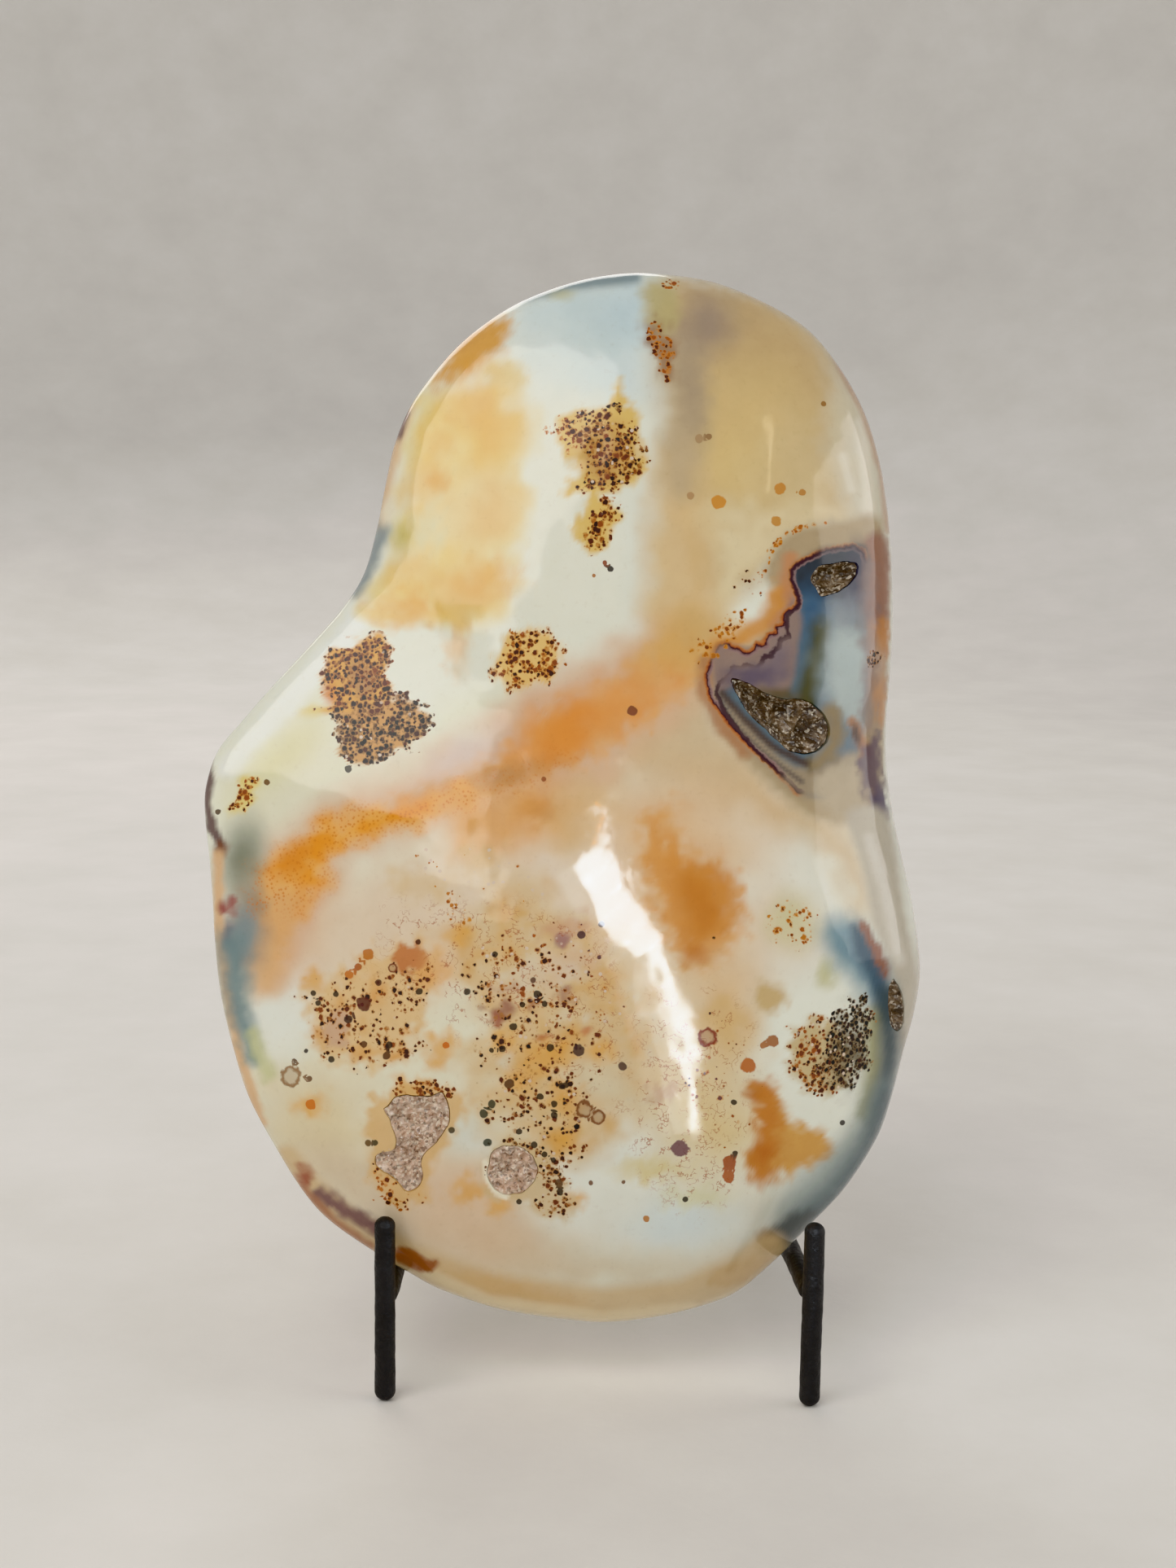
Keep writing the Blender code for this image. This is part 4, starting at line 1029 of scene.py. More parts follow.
class Nodes:
    """A short way to write one material's nodes."""

    def __init__(self, name):
        self.material = bpy.data.materials.new(name)
        self.material.use_nodes = True
        self.tree = self.material.node_tree
        self.shader = self.tree.nodes["Principled BSDF"]

    def add(self, kind, values=None, links=None, **settings):
        """A node with these settings, socket values and links into its sockets."""
        node = self.tree.nodes.new("ShaderNode" + kind)
        for key, value in settings.items():
            setattr(node, key, value)
        for key, value in (values or {}).items():
            node.inputs[key].default_value = value
        for key, source in (links or {}).items():
            self.tree.links.new(source, node.inputs[key])
        return node

    def feed(self, node, key, value):
        """Links a socket into an input, or sets the input to a value."""
        if isinstance(value, bpy.types.NodeSocket):
            self.tree.links.new(value, node.inputs[key])
        else:
            node.inputs[key].default_value = value

    def math(self, operation, first, second=0.0):
        node = self.add("Math", operation=operation)
        self.feed(node, 0, first)
        self.feed(node, 1, second)
        return node.outputs[0]

    def plus(self, first, second):
        return self.math("ADD", first, second)

    def minus(self, first, second):
        return self.math("SUBTRACT", first, second)

    def times(self, first, second):
        return self.math("MULTIPLY", first, second)

    def step(self, value, low, high, to_low=0.0, to_high=1.0):
        """A soft step of a value between low and high."""
        node = self.add("MapRange", interpolation_type="SMOOTHSTEP")
        for key, number in (("Value", value), ("From Min", low), ("From Max", high),
                            ("To Min", to_low), ("To Max", to_high)):
            self.feed(node, key, number)
        return node.outputs[0]

    def mix(self, share, first, second, blend="MIX"):
        """A colour mixed from two."""
        node = self.add("Mix", data_type="RGBA", blend_type=blend)
        self.feed(node, 0, share)
        self.feed(node, 6, first)
        self.feed(node, 7, second)
        return node.outputs[2]

    def ramp(self, value, stops):
        """A colour from a row of (place, display colour) stops."""
        node = self.add("ValToRGB")
        ramp = node.color_ramp
        while len(ramp.elements) < len(stops):
            ramp.elements.new(0.5)
        for element, (place, colour) in zip(ramp.elements, stops):
            element.position = place
            element.color = flat(colour)
        self.feed(node, 0, value)
        return node.outputs[0]

    def sway(self, vector, scale, detail, amount):
        """Soft noise that runs to both sides of zero."""
        return self.times(self.minus(self.noise(vector, scale, detail)[0], 0.5), amount)

    def noise(self, vector, scale, detail=3.0, roughness=0.55):
        """Soft noise over a place in millimetres: its value and its colour."""
        values = {"Scale": scale, "Detail": detail, "Roughness": roughness}
        return self.add("TexNoise", values, {"Vector": vector}).outputs

    def cells(self, vector, scale):
        """Random cells, each with the distance from its middle and a colour of its own."""
        return self.add("TexVoronoi", {"Scale": scale}, {"Vector": vector}).outputs

    def attribute(self, name):
        return self.add("Attribute", attribute_name=name).outputs

    def split(self, colour):
        return self.add("SeparateColor", links={0: colour}).outputs

    def millimetres(self):
        """The place on the piece in millimetres."""
        place = self.add("TexCoord").outputs["Object"]
        scaled = self.add("VectorMath", links={0: place}, operation="SCALE")
        scaled.inputs["Scale"].default_value = 1 / MM
        return scaled.outputs[0]

    def bump(self, height, strength, distance):
        """Fine relief of this depth in metres, in the shading only."""
        node = self.add("Bump", {"Strength": strength, "Distance": distance}, {"Height": height})
        self.tree.links.new(node.outputs[0], self.shader.inputs["Normal"])

    def set(self, **values):
        """Feeds the shader's inputs, with an underscore in place of each space."""
        for key, value in values.items():
            self.feed(self.shader, key.replace("_", " "), value)


# Colours of the specks: the stain round them, and their own ink, from golden to black.
HALO_STOPS = [(0.0, (214, 158, 66)), (0.5, (196, 124, 52)), (1.0, (120, 100, 70))]
SPECK_STOPS = [
    (0.0, (196, 134, 52)), (0.3, (160, 84, 32)), (0.55, (100, 46, 28)), (0.8, (52, 30, 26)),
    (1.0, (24, 26, 26)),
]

# Colours across the eye's outer contour, from outside to inside.
CONTOUR_STOPS = [
    (0.0, (190, 140, 92)), (0.3, (172, 100, 60)), (0.44, (104, 52, 46)), (0.55, (60, 38, 48)),
    (0.75, (140, 112, 112)), (1.0, (156, 132, 130)),
]

# The other colours laid on the stone. The last two are blended in, so they are shares of light.
INNER_LINE = (62, 42, 54)
GRAIN_RUST = (204, 118, 40)
THREAD_BROWN = (162, 78, 36)
# White of the crystals among the specks, also used for painted glints.
CRYSTAL_AND_GLINT_WHITE = (214, 196, 178)
WARM_WHITE = (1.0, 0.98, 0.94, 1)
WISP_BROWN = (0.55, 0.42, 0.28, 1)

# The two layers of specks: cells to a millimetre, the largest speck as a share of a cell, and
# a shift that tells the layers apart.
SMALL_SPECKS = (1.5, 0.5, 0.0)
LARGE_SPECKS = (0.86, 0.42, 7.0)

# The optics of the polished stone: quartz, with light let in a few millimetres, red the deepest.
QUARTZ_IOR = 1.54
LIGHT_DEPTH = 0.003
LIGHT_SHARE = 0.25
LIGHT_REACH = (1.0, 0.7, 0.45)


def speck_layer(n, place, colour, density, tone, scale, size, seed_shift):
    """Strews specks of one size: cells whose own chance is below the density."""
    shift = n.add("VectorMath", links={0: place}, operation="ADD")
    shift.inputs[1].default_value = (seed_shift, seed_shift * 2, seed_shift * 3)
    warp = n.noise(shift.outputs[0], scale * 2.2, 2.0)["Color"]
    moved = n.add("VectorMath", {"Scale": 0.5 / scale}, {0: warp}, operation="SCALE").outputs[0]
    moved = n.add("VectorMath", links={0: shift.outputs[0], 1: moved}, operation="ADD").outputs[0]
    cell = n.cells(moved, scale)
    chance = n.split(cell["Color"])
    reach = n.times(n.minus(density, chance[0]), 1.6)
    reach = n.math("MINIMUM", reach, size)
    depth = n.minus(reach, cell["Distance"])
    tint = n.ramp(tone, HALO_STOPS)
    halo = n.times(n.step(depth, -0.22, -0.02), n.step(density, 0.1, 0.4, 0.0, 0.75))
    colour = n.mix(halo, colour, tint)
    inside = n.step(depth, 0.0, 0.05)
    shade = n.plus(tone, n.times(n.minus(chance[1], 0.5), 0.5))
    ink = n.ramp(shade, SPECK_STOPS)
    return n.mix(inside, colour, ink), inside


def add_mottle(n, place, colour):
    """Faint clouds and brown wisps all over the stone."""
    mottle = n.noise(place, 0.22, 3.0, 0.6)[0]
    colour = n.mix(n.step(mottle, 0.3, 0.7, 0.0, 0.10), colour, WARM_WHITE, "SOFT_LIGHT")
    wisps = n.noise(place, 0.9, 3.0, 0.6)[0]
    return n.mix(n.step(wisps, 0.55, 0.8, 0.0, 0.10), colour, WISP_BROWN, "MULTIPLY")


def add_grain(n, place, colour, grain):
    """Rust grains in the orange river."""
    grains = n.cells(place, 1.6)
    grit = n.times(grain, n.step(grains["Distance"], 0.45, 0.2))
    return n.mix(n.times(grit, 0.6), colour, flat(GRAIN_RUST))


def add_contours(n, place, colour, bands, strength):
    """The lines round the agate eye: a banded outer one and a thin dark inner one."""
    jitter = n.sway(place, 0.9, 3.0, 0.7)
    outer = n.plus(bands[2], jitter)
    on_edge = n.times(n.step(n.math("ABSOLUTE", outer), 0.62, 0.3), strength)
    colour = n.mix(on_edge, colour, n.ramp(n.step(outer, -0.6, 0.6), CONTOUR_STOPS))
    inner = n.plus(bands[0], jitter)
    on_edge = n.times(n.step(n.math("ABSOLUTE", inner), 0.4, 0.15), strength)
    return n.mix(n.times(on_edge, 0.85), colour, flat(INNER_LINE))


def add_threads(n, place, colour, share):
    """Fine brown threads, where one noise crosses its middle and another is high."""
    line = n.math("ABSOLUTE", n.minus(n.noise(place, 0.75, 2.0)[0], 0.5))
    field = n.step(n.noise(place, 0.33, 2.0)[0], 0.5, 0.56)
    thread = n.times(n.step(line, 0.026, 0.012), field)
    return n.mix(n.times(thread, n.times(share, 0.6)), colour, flat(THREAD_BROWN))


def add_specks(n, place, colour, marks):
    """Clusters of dark specks in two sizes, with white crystals and painted glints among them."""
    clump = n.step(n.noise(place, 0.4, 1.0, 0.6)[0], 0.36, 0.62, 0.45, 1.2)
    density = n.times(marks[0], clump)
    colour, small = speck_layer(n, place, colour, density, marks[1], *SMALL_SPECKS)
    colour, large = speck_layer(n, place, colour, density, marks[1], *LARGE_SPECKS)
    # White cells: crystals, and painted glints where the white share is high.
    crystals = n.cells(place, 1.2)
    chance = n.split(crystals["Color"])[0]
    shown = n.step(n.minus(n.times(density, marks[2]), n.times(chance, 1.5)), 0.0, 0.1)
    shown = n.times(shown, n.step(crystals["Distance"], 0.42, 0.34))
    return n.mix(shown, colour, flat(CRYSTAL_AND_GLINT_WHITE)), n.math("MAXIMUM", small, large)


def add_dots(n, place, colour):
    """The single dots, and the rings, which are paler in the middle."""
    where = n.attribute("dot_place")
    axes = n.split(where["Color"])
    length = n.math("SQRT", n.plus(n.math("POWER", axes[0], 2.0), n.math("POWER", axes[1], 2.0)))
    length = n.math("MAXIMUM", length, n.times(axes[2], 0.6))
    length = n.plus(length, n.sway(place, 0.8, 2.0, 0.9))
    hole = n.times(n.step(length, 0.8, 0.5), where["Alpha"])
    disc = n.times(n.step(length, 1.12, 0.9), n.minus(1.0, n.times(hole, 0.65)))
    return n.mix(n.times(disc, 0.9), colour, n.attribute("dot_colour")["Color"])


def stone_material():
    """Polished chalcedony: glassy, a little see-through, with specks and banding."""
    n = Nodes("polished_agate")
    place = n.millimetres()
    painted = n.attribute("stain")
    layered = n.attribute("bands")
    bands = n.split(layered["Color"])
    colour = add_mottle(n, place, painted["Color"])
    colour = add_grain(n, place, colour, bands[1])
    colour = add_contours(n, place, colour, bands, painted["Alpha"])
    colour = add_threads(n, place, colour, layered["Alpha"])
    colour, dark = add_specks(n, place, colour, n.split(n.attribute("marks")["Color"]))
    colour = add_dots(n, place, colour)
    worn = n.step(n.noise(place, 1.1, 2.0, 0.7)[0], 0.3, 0.75, 0.05, 0.13)
    n.set(Base_Color=colour, Roughness=n.plus(worn, n.times(dark, 0.1)), IOR=QUARTZ_IOR)
    n.set(Subsurface_Weight=LIGHT_SHARE, Subsurface_Scale=LIGHT_DEPTH)
    n.shader.subsurface_method = "BURLEY"
    n.shader.inputs["Subsurface Radius"].default_value = LIGHT_REACH
    n.bump(n.noise(place, 0.07, 2.0)[0], 0.2, 0.002)
    return n.material


# Colours of the crusts, which noise lays over them: brown ones, and paler ones for the two
# lower pockets.
BROWN_STOPS = [
    (0.25, (58, 44, 34)), (0.45, (112, 94, 74)), (0.6, (150, 132, 110)), (0.8, (196, 184, 166)),
]
PALE_STOPS = [
    (0.25, (150, 112, 84)), (0.42, (196, 166, 144)), (0.6, (218, 196, 178)), (0.8, (232, 220, 208)),
]
# Painted shade for the crusts' hollows.
PAINTED_HOLLOW_SHADE = (50, 38, 30)
GLINT_PALE = (232, 222, 204)
GLINT_DARK = (70, 46, 30)

# Colours of the rods' black coat and of the floor.
COAT_STOPS = [(0.3, (24, 24, 26)), (0.7, (42, 42, 45))]
COAT_WORN = (84, 82, 80)
PLASTER_STOPS = [(0.3, (226, 224, 220)), (0.7, (234, 232, 229))]


def druzy_material():
    """Small quartz points with iron staining and painted shade in the hollows between them, paler in the
    open lower pockets.
    """
    n = Nodes("quartz_druzy")
    place = n.millimetres()
    cloudy = n.noise(place, 0.5, 5.0, 0.65)[0]
    brown = n.ramp(cloudy, BROWN_STOPS)
    pale = n.ramp(cloudy, PALE_STOPS)
    pallor = n.split(n.attribute("pale")["Color"])[0]
    stain = n.mix(pallor, brown, pale)
    # Painted shade: noise picks hollows and darkens them, more in the brown pockets than in the pale ones.
    shaded_hollows = n.step(n.noise(place, 0.36, 3.0, 0.6)[0], 0.58, 0.42)
    depth = n.times(shaded_hollows, n.minus(0.72, n.times(pallor, 0.5)))
    stain = n.mix(depth, stain, flat(PAINTED_HOLLOW_SHADE))
    glint = n.cells(place, 2.4)
    chance = n.split(glint["Color"])
    colour = n.mix(n.step(chance[0], 0.75, 0.8, 0.0, 0.55), stain, flat(GLINT_PALE))
    colour = n.mix(n.step(chance[1], 0.8, 0.85, 0.0, 0.5), colour, flat(GLINT_DARK))
    n.set(Base_Color=colour, Roughness=n.step(chance[2], 0.0, 1.0, 0.12, 0.5), IOR=QUARTZ_IOR)
    n.bump(n.noise(place, 3.0, 3.0)[0], 0.3, 0.0004)
    return n.material


def steel_material():
    """Black powder coat over hand-forged rod: satin, with a fine pitted grain."""
    n = Nodes("black_coated_steel")
    place = n.millimetres()
    tone = n.ramp(n.noise(place, 0.35, 5.0, 0.6)[0], COAT_STOPS)
    worn = n.step(n.noise(place, 1.4, 4.0, 0.7)[0], 0.66, 0.78, 0.0, 0.4)
    colour = n.mix(worn, tone, flat(COAT_WORN))
    n.set(Base_Color=colour, Roughness=n.step(n.noise(place, 0.8, 3.0)[0], 0.3, 0.7, 0.34, 0.52))
    pits = n.noise(place, 1.6, 4.0, 0.65)[0]
    n.bump(pits, 0.45, 0.0006)
    return n.material


def floor_material():
    """Pale matt plaster with hardly any grain."""
    n = Nodes("pale_floor")
    place = n.millimetres()
    tone = n.ramp(n.noise(place, 0.02, 5.0, 0.6)[0], PLASTER_STOPS)
    n.set(Base_Color=tone, Roughness=0.75)
    n.bump(n.noise(place, 0.35, 4.0, 0.6)[0], 0.15, 0.0006)
    return n.material


# Solids and pieces.


def stacked_mesh(name, rings):
    """A closed solid from rings of points, each end filled with a fan."""
    rings = [np.asarray(ring, float) for ring in rings]
    count = len(rings[0])
    points = np.vstack(rings + [rings[0].mean(axis=0), rings[-1].mean(axis=0)])
    faces = []
    this = np.arange(count)
    following = np.roll(this, -1)
    for level in range(len(rings) - 1):
        low, high = level * count, (level + 1) * count
        side = np.column_stack([low + this, low + following, high + following, high + this])
        faces += side.tolist()
    first, last = len(points) - 2, len(points) - 1
    top = (len(rings) - 1) * count
    for k in range(count):
        faces.append([int(following[k]), k, first])
        faces.append([top + k, top + int(following[k]), last])
    mesh = bpy.data.meshes.new(name)
    mesh.from_pydata(points, [], faces)
    return mesh


def add_piece(name, mesh, material):
    """An object in the scene with this mesh and this one material."""
    obj = bpy.data.objects.new(name, mesh)
    mesh.materials.clear()
    mesh.materials.append(material)
    bpy.context.scene.collection.objects.link(obj)
    return obj


# A pocket's rim is worn by noise of this size and reach, in photo pixels.
WEAR_SIZE_PX = 14
WEAR_PX = 2.6
CUTTER_CORNERS = 72
CRUST_CORNERS = 150
CRUST_LEVELS = 44

# Rings of a pocket's hollow and of its crust's underside: share of the rim, and height in depths.
HOLLOW_RINGS = ((0.35, -1.0), (0.7, -0.9), (0.9, -0.62), (0.98, -0.25), (1.0, 0.15), (1.02, 0.6))
BOWL_RINGS = ((0.3, -0.98), (0.66, -0.88), (0.86, -0.6), (0.955, -0.28))
BOWL_GAP_MM = 0.05

# The crust's rings run between these shares of the rim. Its floor lies at the first share of
# the pocket's depth by the rim, and lower by the second in the middle.
CRUST_SHARES = (0.965, 0.02)
FLOOR_SHARES = (0.10, 0.62)

# A crystal's height and reach are in spacings, as is how deep the crust goes between crystals.
# Count is crystals to a square of one spacing. Lean and slope are rises to one sideways.
CRYSTAL_COUNT = 1.6
CRYSTAL_TALL = (0.1, 0.75)
CRYSTAL_REACH = 1.2
CRYSTAL_LEAN = 0.3
CRYSTAL_SLOPE = 1.1
CRYSTAL_FLOOR = 0.3
BELOW_ALL = -9.0


def pocket_rim(name, corners):
    """A pocket's worn rim as evenly stepped photo pixels, and the rim's middle."""
    curve = closed_spline(POCKETS[name][0], 8)
    closed = np.vstack([curve, curve[:1]])
    way = np.concatenate([[0], np.cumsum(np.hypot(*np.diff(closed, axis=0).T))])
    spots = np.linspace(0, way[-1], corners, endpoint=False)
    even = np.column_stack([np.interp(spots, way, closed[:, axis]) for axis in (0, 1)])
    if np.cross(even - even.mean(axis=0), np.roll(even, -1, axis=0) - even.mean(axis=0)).sum() > 0:
        even = even[::-1]
    return ragged(even, WEAR_SIZE_PX, WEAR_PX, len(name)), curve.mean(axis=0)


def ragged(points, size, amount, seed):
    """Photo pixels moved a little by noise, so that a rim is worn and uneven."""
    deep = np.column_stack([points, np.zeros(len(points))])
    fields = [cloud(deep, size, 3, seed + k) for k in (0, 50)]
    return points + amount * np.column_stack(fields)


def to_world(own, turn, centre):
    """Points in the stone's own frame, in mm, as points of the scene."""
    return (np.asarray(own) * MM) @ np.array(turn).T + np.array(centre)


def pocket_cutter(name, turn, centre):
    """The hollow of a pocket, reaching out past the face."""
    depth = POCKETS[name][1]
    even, middle = pocket_rim(name, CUTTER_CORNERS)
    rings = []
    for share, height in HOLLOW_RINGS:
        here, normals = face_frames(middle + (even - middle) * share)
        rings.append(to_world(here + normals * height * depth, turn, centre))
    mesh = stacked_mesh(name + "_cutter", rings)
    obj = bpy.data.objects.new(name + "_cutter", mesh)
    bpy.context.scene.collection.objects.link(obj)
    return obj


def crystal_heights(places, size, seed):
    """Heights of a crust of pointed crystals over a plane, in mm. Size is their spacing."""
    chance = random.Random(seed)
    low, high = places.min(axis=0) - size, places.max(axis=0) + size
    heights = np.full(len(places), BELOW_ALL)
    count = int(CRYSTAL_COUNT * np.prod((high - low) / size))
    for _ in range(count):
        spot = np.array([chance.uniform(low[0], high[0]), chance.uniform(low[1], high[1])])
        tall = size * chance.uniform(*CRYSTAL_TALL)
        lean = np.array([chance.uniform(-CRYSTAL_LEAN, CRYSTAL_LEAN) for _ in range(2)])
        first = chance.uniform(0, math.pi)
        reach = places - spot
        near = np.flatnonzero(np.abs(reach).max(axis=1) < size * CRYSTAL_REACH)
        side = np.full(len(near), BELOW_ALL)
        for k in range(chance.choice((3, 4, 6))):
            angle = first + k * math.tau / 6 * (2 if k < 3 else 1)
            slope = np.array([math.cos(angle), math.sin(angle)]) * CRYSTAL_SLOPE + lean
            side = np.maximum(side, reach[near] @ slope)
        heights[near] = np.maximum(heights[near], tall - np.maximum(side, 0))
    return np.maximum(heights, -size * CRYSTAL_FLOOR)


def build_crust(name, turn, centre, material):
    """The crystal lining of a pocket, a closed shell on the pocket's floor."""
    _, depth, size = POCKETS[name]
    even, middle = pocket_rim(name, CRUST_CORNERS)
    rings = []
    for share, height in BOWL_RINGS:
        here, normals = face_frames(middle + (even - middle) * share)
        rings.append(to_world(here + normals * (height * depth + BOWL_GAP_MM), turn, centre))
    shares = np.linspace(*CRUST_SHARES, CRUST_LEVELS)
    spots = np.vstack([middle + (even - middle) * share for share in shares])
    tall = crystal_heights(spots / PX_PER_MM, size, len(name) * 7)
    share = np.repeat(shares, CRUST_CORNERS)
    floor = -depth * (FLOOR_SHARES[0] + FLOOR_SHARES[1] * smooth(1.0, 0.5, share))
    here, normals = face_frames(spots)
    own = here + normals * (floor + tall * smooth(1.0, 0.8, share))[:, None]
    rings += list(to_world(own, turn, centre).reshape(CRUST_LEVELS, CRUST_CORNERS, 3))
    mesh = stacked_mesh(name, rings)
    pale = float(name.startswith("lower"))
    write_values(mesh, "pale", np.tile([pale, pale, pale, 1], (len(mesh.vertices), 1)))
    obj = add_piece(name + "_crystals", mesh, material)
    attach(obj, "root")
    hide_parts(name)


def build_stone(turn, materials):
    """The stone with its pockets cut and its markings laid."""
    mesh = stone_mesh()
    mesh.transform(turn.to_4x4())
    points = mesh_points(mesh)
    low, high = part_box("carnelian_stone")
    centre = Vector((np.array(low) + np.array(high) - points.min(axis=0) - points.max(axis=0)) / 2)
    mesh.transform(Matrix.Translation(centre))
    stone = add_piece("carnelian", mesh, materials["agate"])
    cutters = [pocket_cutter(name, turn, centre) for name in POCKETS]
    for cutter in cutters:
        cut = stone.modifiers.new(cutter.name, "BOOLEAN")
        cut.operation = "DIFFERENCE"
        cut.solver = "MANIFOLD"
        cut.object = cutter
    graph = bpy.context.evaluated_depsgraph_get()
    stone.data = bpy.data.meshes.new_from_object(stone.evaluated_get(graph))
    stone.modifiers.clear()
    for cutter in cutters:
        bpy.data.objects.remove(cutter, do_unlink=True)
    stone.data.shade_smooth()
    stone.data.set_sharp_from_angle(angle=SHARP_EDGE)
    paint_stone(stone.data, turn, centre)
    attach(stone, "root")
    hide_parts("carnelian_stone")
    return centre


# The easel.

ROD_NODES = [
    "front_post_left", "front_post_right", "rail_left", "rail_right", "rear_foot_left",
    "rear_foot_right", "back_upright_left", "back_upright_right", "back_cross_bar",
    "rear_cross_bar",
]
ROD_SIDES = 40
ROD_STEP = 0.5 * MM
TIP_SHARE = 0.8
TIP_RINGS = 7

# The lumps in the coating: how high they are, and how large in millimetres.
LUMP = 0.16 * MM
LUMP_SIZES_MM = (5.0, 1.6)


def rod_line(name):
    """The two ends of a CAD rod and its radius, read from the node's mesh."""
    points = mesh_points(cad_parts[name].data)
    middle = points.mean(axis=0)
    axis = np.linalg.svd(points - middle, full_matrices=False)[2][0]
    if axis[np.argmax(np.abs(axis))] < 0:
        axis = -axis
    along = (points - middle) @ axis
    middle = middle + axis * (along.min() + along.max()) / 2
    half = (along.max() - along.min()) / 2
    across = points - middle - np.outer((points - middle) @ axis, axis)
    radius = np.linalg.norm(across, axis=1).max()
    return middle - axis * half, middle + axis * half, radius


def build_rod(name, material):
    """A hand-coated rod with rounded ends in the place of its CAD node."""
    start, end, radius = rod_line(name)
    axis = end - start
    length = np.linalg.norm(axis)
    axis /= length
    side = np.cross(axis, (0, 0, 1) if abs(axis[2]) < 0.9 else (0, 1, 0))
    side /= np.linalg.norm(side)
    other = np.cross(axis, side)
    steps = int(length / ROD_STEP)
    way = np.linspace(0, length, steps)
    tip = radius * TIP_SHARE
    ends = tip * (1 - np.cos(np.linspace(0, math.pi / 2, TIP_RINGS)))
    between = way[(way > tip * 1.2) & (way < length - tip * 1.2)]
    way = np.concatenate([ends, between, length - ends[::-1]])
    from_end = np.minimum(way, length - way)
    width = np.where(from_end < tip, np.sqrt(np.clip(1 - (1 - from_end / tip) ** 2, 0.01, 1)), 1)
    angle = np.linspace(0, math.tau, ROD_SIDES, endpoint=False)
    rings = []
    for at, share in zip(way, width):
        ring = np.outer(np.cos(angle), side) + np.outer(np.sin(angle), other)
        middle = start + axis * at
        field = (middle + ring * radius) * 1000
        lumps = cloud(field, LUMP_SIZES_MM[0], 2, 3) + 0.5 * cloud(field, LUMP_SIZES_MM[1], 2, 8)
        rings.append(middle + ring * ((radius - LUMP * 1.2) * share + LUMP * lumps)[:, None])
    mesh = stacked_mesh(name, rings)
    mesh.shade_smooth()
    obj = add_piece(name + "_coated", mesh, material)
    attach(obj, "root")
    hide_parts(name)


# The stage.

FLAT_RADIUS = 0.9
FLOOR_RISE = 0.7
FLOOR_SIDES = 96
FLAT_RINGS = 8
BEND_RINGS = 14


def build_floor(material):
    """A pale round floor whose far rim curves up out of sight."""
    bend = np.linspace(0.1, 1.5, BEND_RINGS)
    flat_reach = np.linspace(0.02, FLAT_RADIUS, FLAT_RINGS)
    reach = np.concatenate([flat_reach, FLAT_RADIUS + FLOOR_RISE * np.sin(bend)])
    rise = np.concatenate([np.zeros(FLAT_RINGS), FLOOR_RISE * (1 - np.cos(bend))])
    angle = np.linspace(0, math.tau, FLOOR_SIDES, endpoint=False)
    points = [(0, 0, 0)]
    for r, z in zip(reach, rise):
        points += [(r * math.cos(a), r * math.sin(a), z) for a in angle]
    corners = [(k, (k + 1) % FLOOR_SIDES) for k in range(FLOOR_SIDES)]
    faces = [[0, 1 + after, 1 + k] for k, after in corners]
    for level in range(len(reach) - 1):
        low, high = 1 + level * FLOOR_SIDES, 1 + (level + 1) * FLOOR_SIDES
        faces += [[low + k, low + after, high + after, high + k] for k, after in corners]
    mesh = bpy.data.meshes.new("floor")
    mesh.from_pydata(points, [], [face[::-1] for face in faces])
    mesh.shade_smooth()
    add_piece("floor", mesh, material)


def add_area(name, place, aim, width, height, power, colour, along=None, lit=True):
    """A rectangular soft light facing its aim, with its height along a given way.

    A light that isn't lit only shows in reflections.
    """
    light = bpy.data.lights.new(name, "AREA")
    light.shape = "RECTANGLE"
    light.size, light.size_y = width, height
    light.energy = power
    light.color = colour
    obj = bpy.data.objects.new(name, light)
    back = (Vector(place) - Vector(aim)).normalized()
    side = Vector(along or (0, 0, 1)).cross(back).normalized()
    obj.matrix_world = Matrix((side, back.cross(side), back)).transposed().to_4x4()
    obj.location = place
    obj.visible_camera = False
    obj.visible_diffuse = lit
    bpy.context.scene.collection.objects.link(obj)


# The soft lights: name, place, width, height, power and colour.
SOFT_LIGHTS = [
    ("key", (-0.6, -0.9, 1.0), 1.1, 1.1, 8.5, (1.0, 0.97, 0.92)),
    ("side_fill", (1.0, -0.1, 0.35), 0.9, 0.7, 3, (1.0, 0.98, 0.96)),
    ("back_fill", (-0.3, 0.9, 0.7), 0.8, 0.6, 3, (1.0, 0.95, 0.9)),
]
ROOM_COLOUR = (0.86, 0.84, 0.82, 1)
ROOM_STRENGTH = 0.5

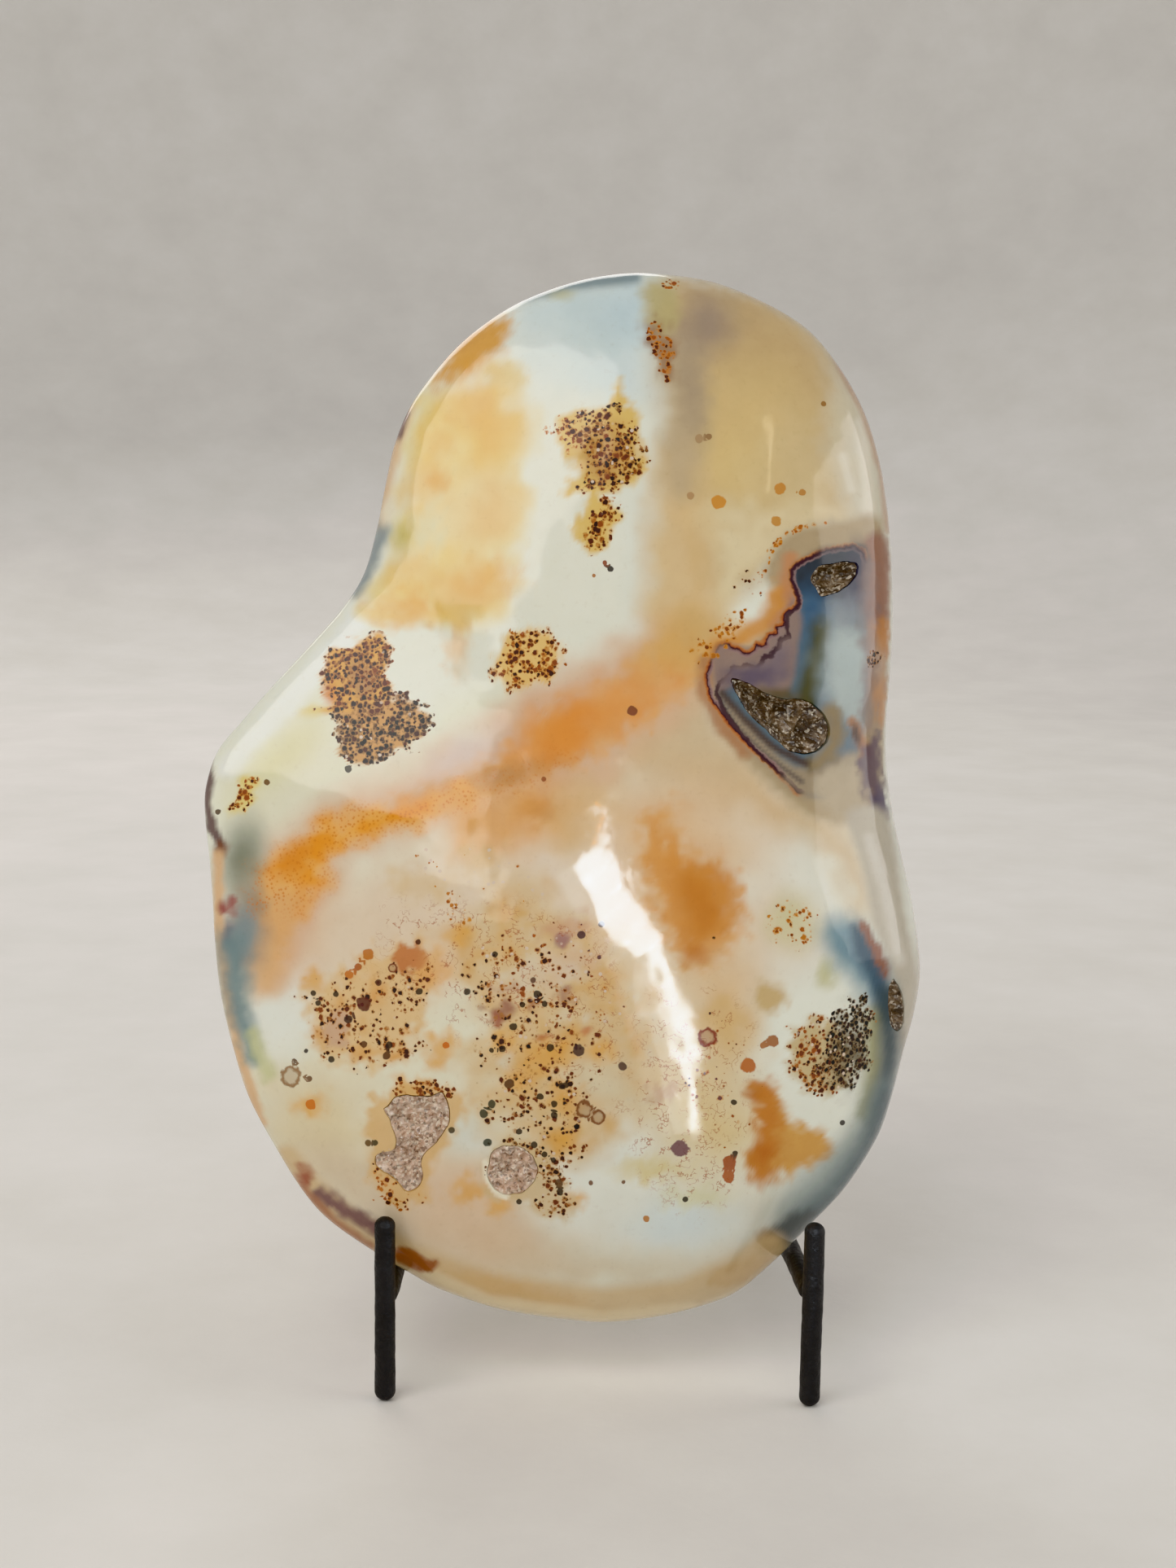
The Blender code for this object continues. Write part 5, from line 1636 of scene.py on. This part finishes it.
# The reflections on the polish: how brightly each shines, its colour, and rows of a light's
# distance from the face in mm and the two photo pixels between which its reflection lies.
COOL = (0.8, 0.9, 1.0)
REFLECTIONS = {
    "highlight_head": (20, COOL, [
        (90, (696, 1052), (746, 1054)), (90, (706, 1068), (756, 1070)),
        (89, (718, 1098), (771, 1099)), (87, (736, 1121), (785, 1122)),
        (85, (758, 1143), (797, 1144)), (82, (780, 1166), (809, 1168)),
    ]),
    "highlight_veil": (2.0, COOL, [
        (82, (779, 1166), (809, 1168)), (79, (776, 1200), (821, 1200)),
        (75, (788, 1240), (832, 1245)), (71, (808, 1290), (842, 1290)),
        (67, (820, 1340), (851, 1345)), (63, (830, 1394), (852, 1396)),
    ]),
    "highlight_haze": (1.2, COOL, [
        (92, (688, 1056), (750, 1058)), (88, (704, 1112), (785, 1116)),
        (83, (738, 1166), (812, 1170)), (76, (768, 1240), (836, 1244)),
        (68, (796, 1330), (852, 1336)), (63, (818, 1396), (856, 1398)),
    ]),
    "highlight_line": (20, COOL, [
        (81, (797, 1158), (811, 1160)), (76, (807, 1212), (820, 1210)),
        (73, (821, 1258), (833, 1254)), (69, (836, 1302), (846, 1300)),
        (66, (845, 1345), (854, 1343)), (62, (850, 1390), (855, 1389)),
    ]),
    "candle": (17, (1.0, 0.36, 0.02), [
        (84, (738, 1000), (740, 1000)), (84, (736, 1024), (739, 1024)),
    ]),
    "honey_line": (3, (1.0, 0.85, 0.6), [
        (102, (944, 508), (950, 508)), (102, (944, 555), (949, 555)),
        (102, (938, 600), (943, 600)),
    ]),
}
OVERLAP = 1.04


def mirrored(spot, away, turn, centre):
    """The place this far from the face that the camera sees mirrored at a photo pixel."""
    here, normals = face_frames([spot])
    sight = here - (0, 0, EYE_MM)
    sight /= np.linalg.norm(sight)
    back = sight - 2 * np.sum(sight * normals) * normals
    return Vector(to_world(here + back * away, turn, centre)[0])


def add_reflection(name, shine, colour, rows, turn, centre):
    """A chain of small lights whose reflections join up. Shine is their radiance."""
    pairs = [
        [mirrored(spot, away, turn, centre) for spot in (left, right)] for away, left, right in rows
    ]
    middles = [(left + right) / 2 for left, right in pairs]
    widths = [(left - right).length for left, right in pairs]
    aims = [face_points([(np.array(left) + right) / 2]) for _, left, right in rows]
    aims = [Vector(to_world(aim, turn, centre)[0]) for aim in aims]
    for k in range(len(rows) - 1):
        way = middles[k + 1] - middles[k]
        width = (widths[k] + widths[k + 1]) / 2
        power = shine * math.pi * width * way.length
        place, aim = ((ends[k] + ends[k + 1]) / 2 for ends in (middles, aims))
        add_area(f"{name}_{k}", place, aim, width, way.length * OVERLAP, power, colour, way, False)


def build_lights(turn, centre):
    """A wide soft key, soft fills, and the small lights that the polish mirrors."""
    for name, place, width, height, power, colour in SOFT_LIGHTS:
        add_area(name, place, centre, width, height, power, colour)
    for name, (shine, colour, rows) in REFLECTIONS.items():
        add_reflection(name, shine, colour, rows, turn, centre)
    world = bpy.data.worlds.new("soft_room")
    world.use_nodes = True
    background = world.node_tree.nodes["Background"]
    background.inputs["Color"].default_value = ROOM_COLOUR
    background.inputs["Strength"].default_value = ROOM_STRENGTH
    bpy.context.scene.world = world


def build_camera(turn, centre):
    """The camera where the photograph was taken, square to the stone's face."""
    camera = bpy.data.cameras.new("camera")
    camera.sensor_width = SENSOR
    camera.lens = SENSOR * EYE_MM * PX_PER_MM / PHOTO_SIZE[1]
    camera.clip_start = NEAR_CLIP
    camera.clip_end = FAR_CLIP
    obj = bpy.data.objects.new("camera", camera)
    out = turn @ Vector((0, 0, EYE_MM * MM))
    obj.matrix_world = Matrix.Translation(centre + out) @ turn.to_4x4()
    bpy.context.scene.collection.objects.link(obj)
    bpy.context.scene.camera = obj


def main():
    """Builds every piece, the stage, the lights and the camera."""
    turn = stone_turn()
    materials = {
        "agate": stone_material(),
        "druzy": druzy_material(),
        "steel": steel_material(),
    }
    centre = build_stone(turn, materials)
    for name in POCKETS:
        build_crust(name, turn, centre, materials["druzy"])
    for name in ROD_NODES:
        build_rod(name, materials["steel"])
    build_floor(floor_material())
    build_lights(turn, centre)
    build_camera(turn, centre)
    bpy.context.scene.view_settings.view_transform = "Khronos PBR Neutral"


main()
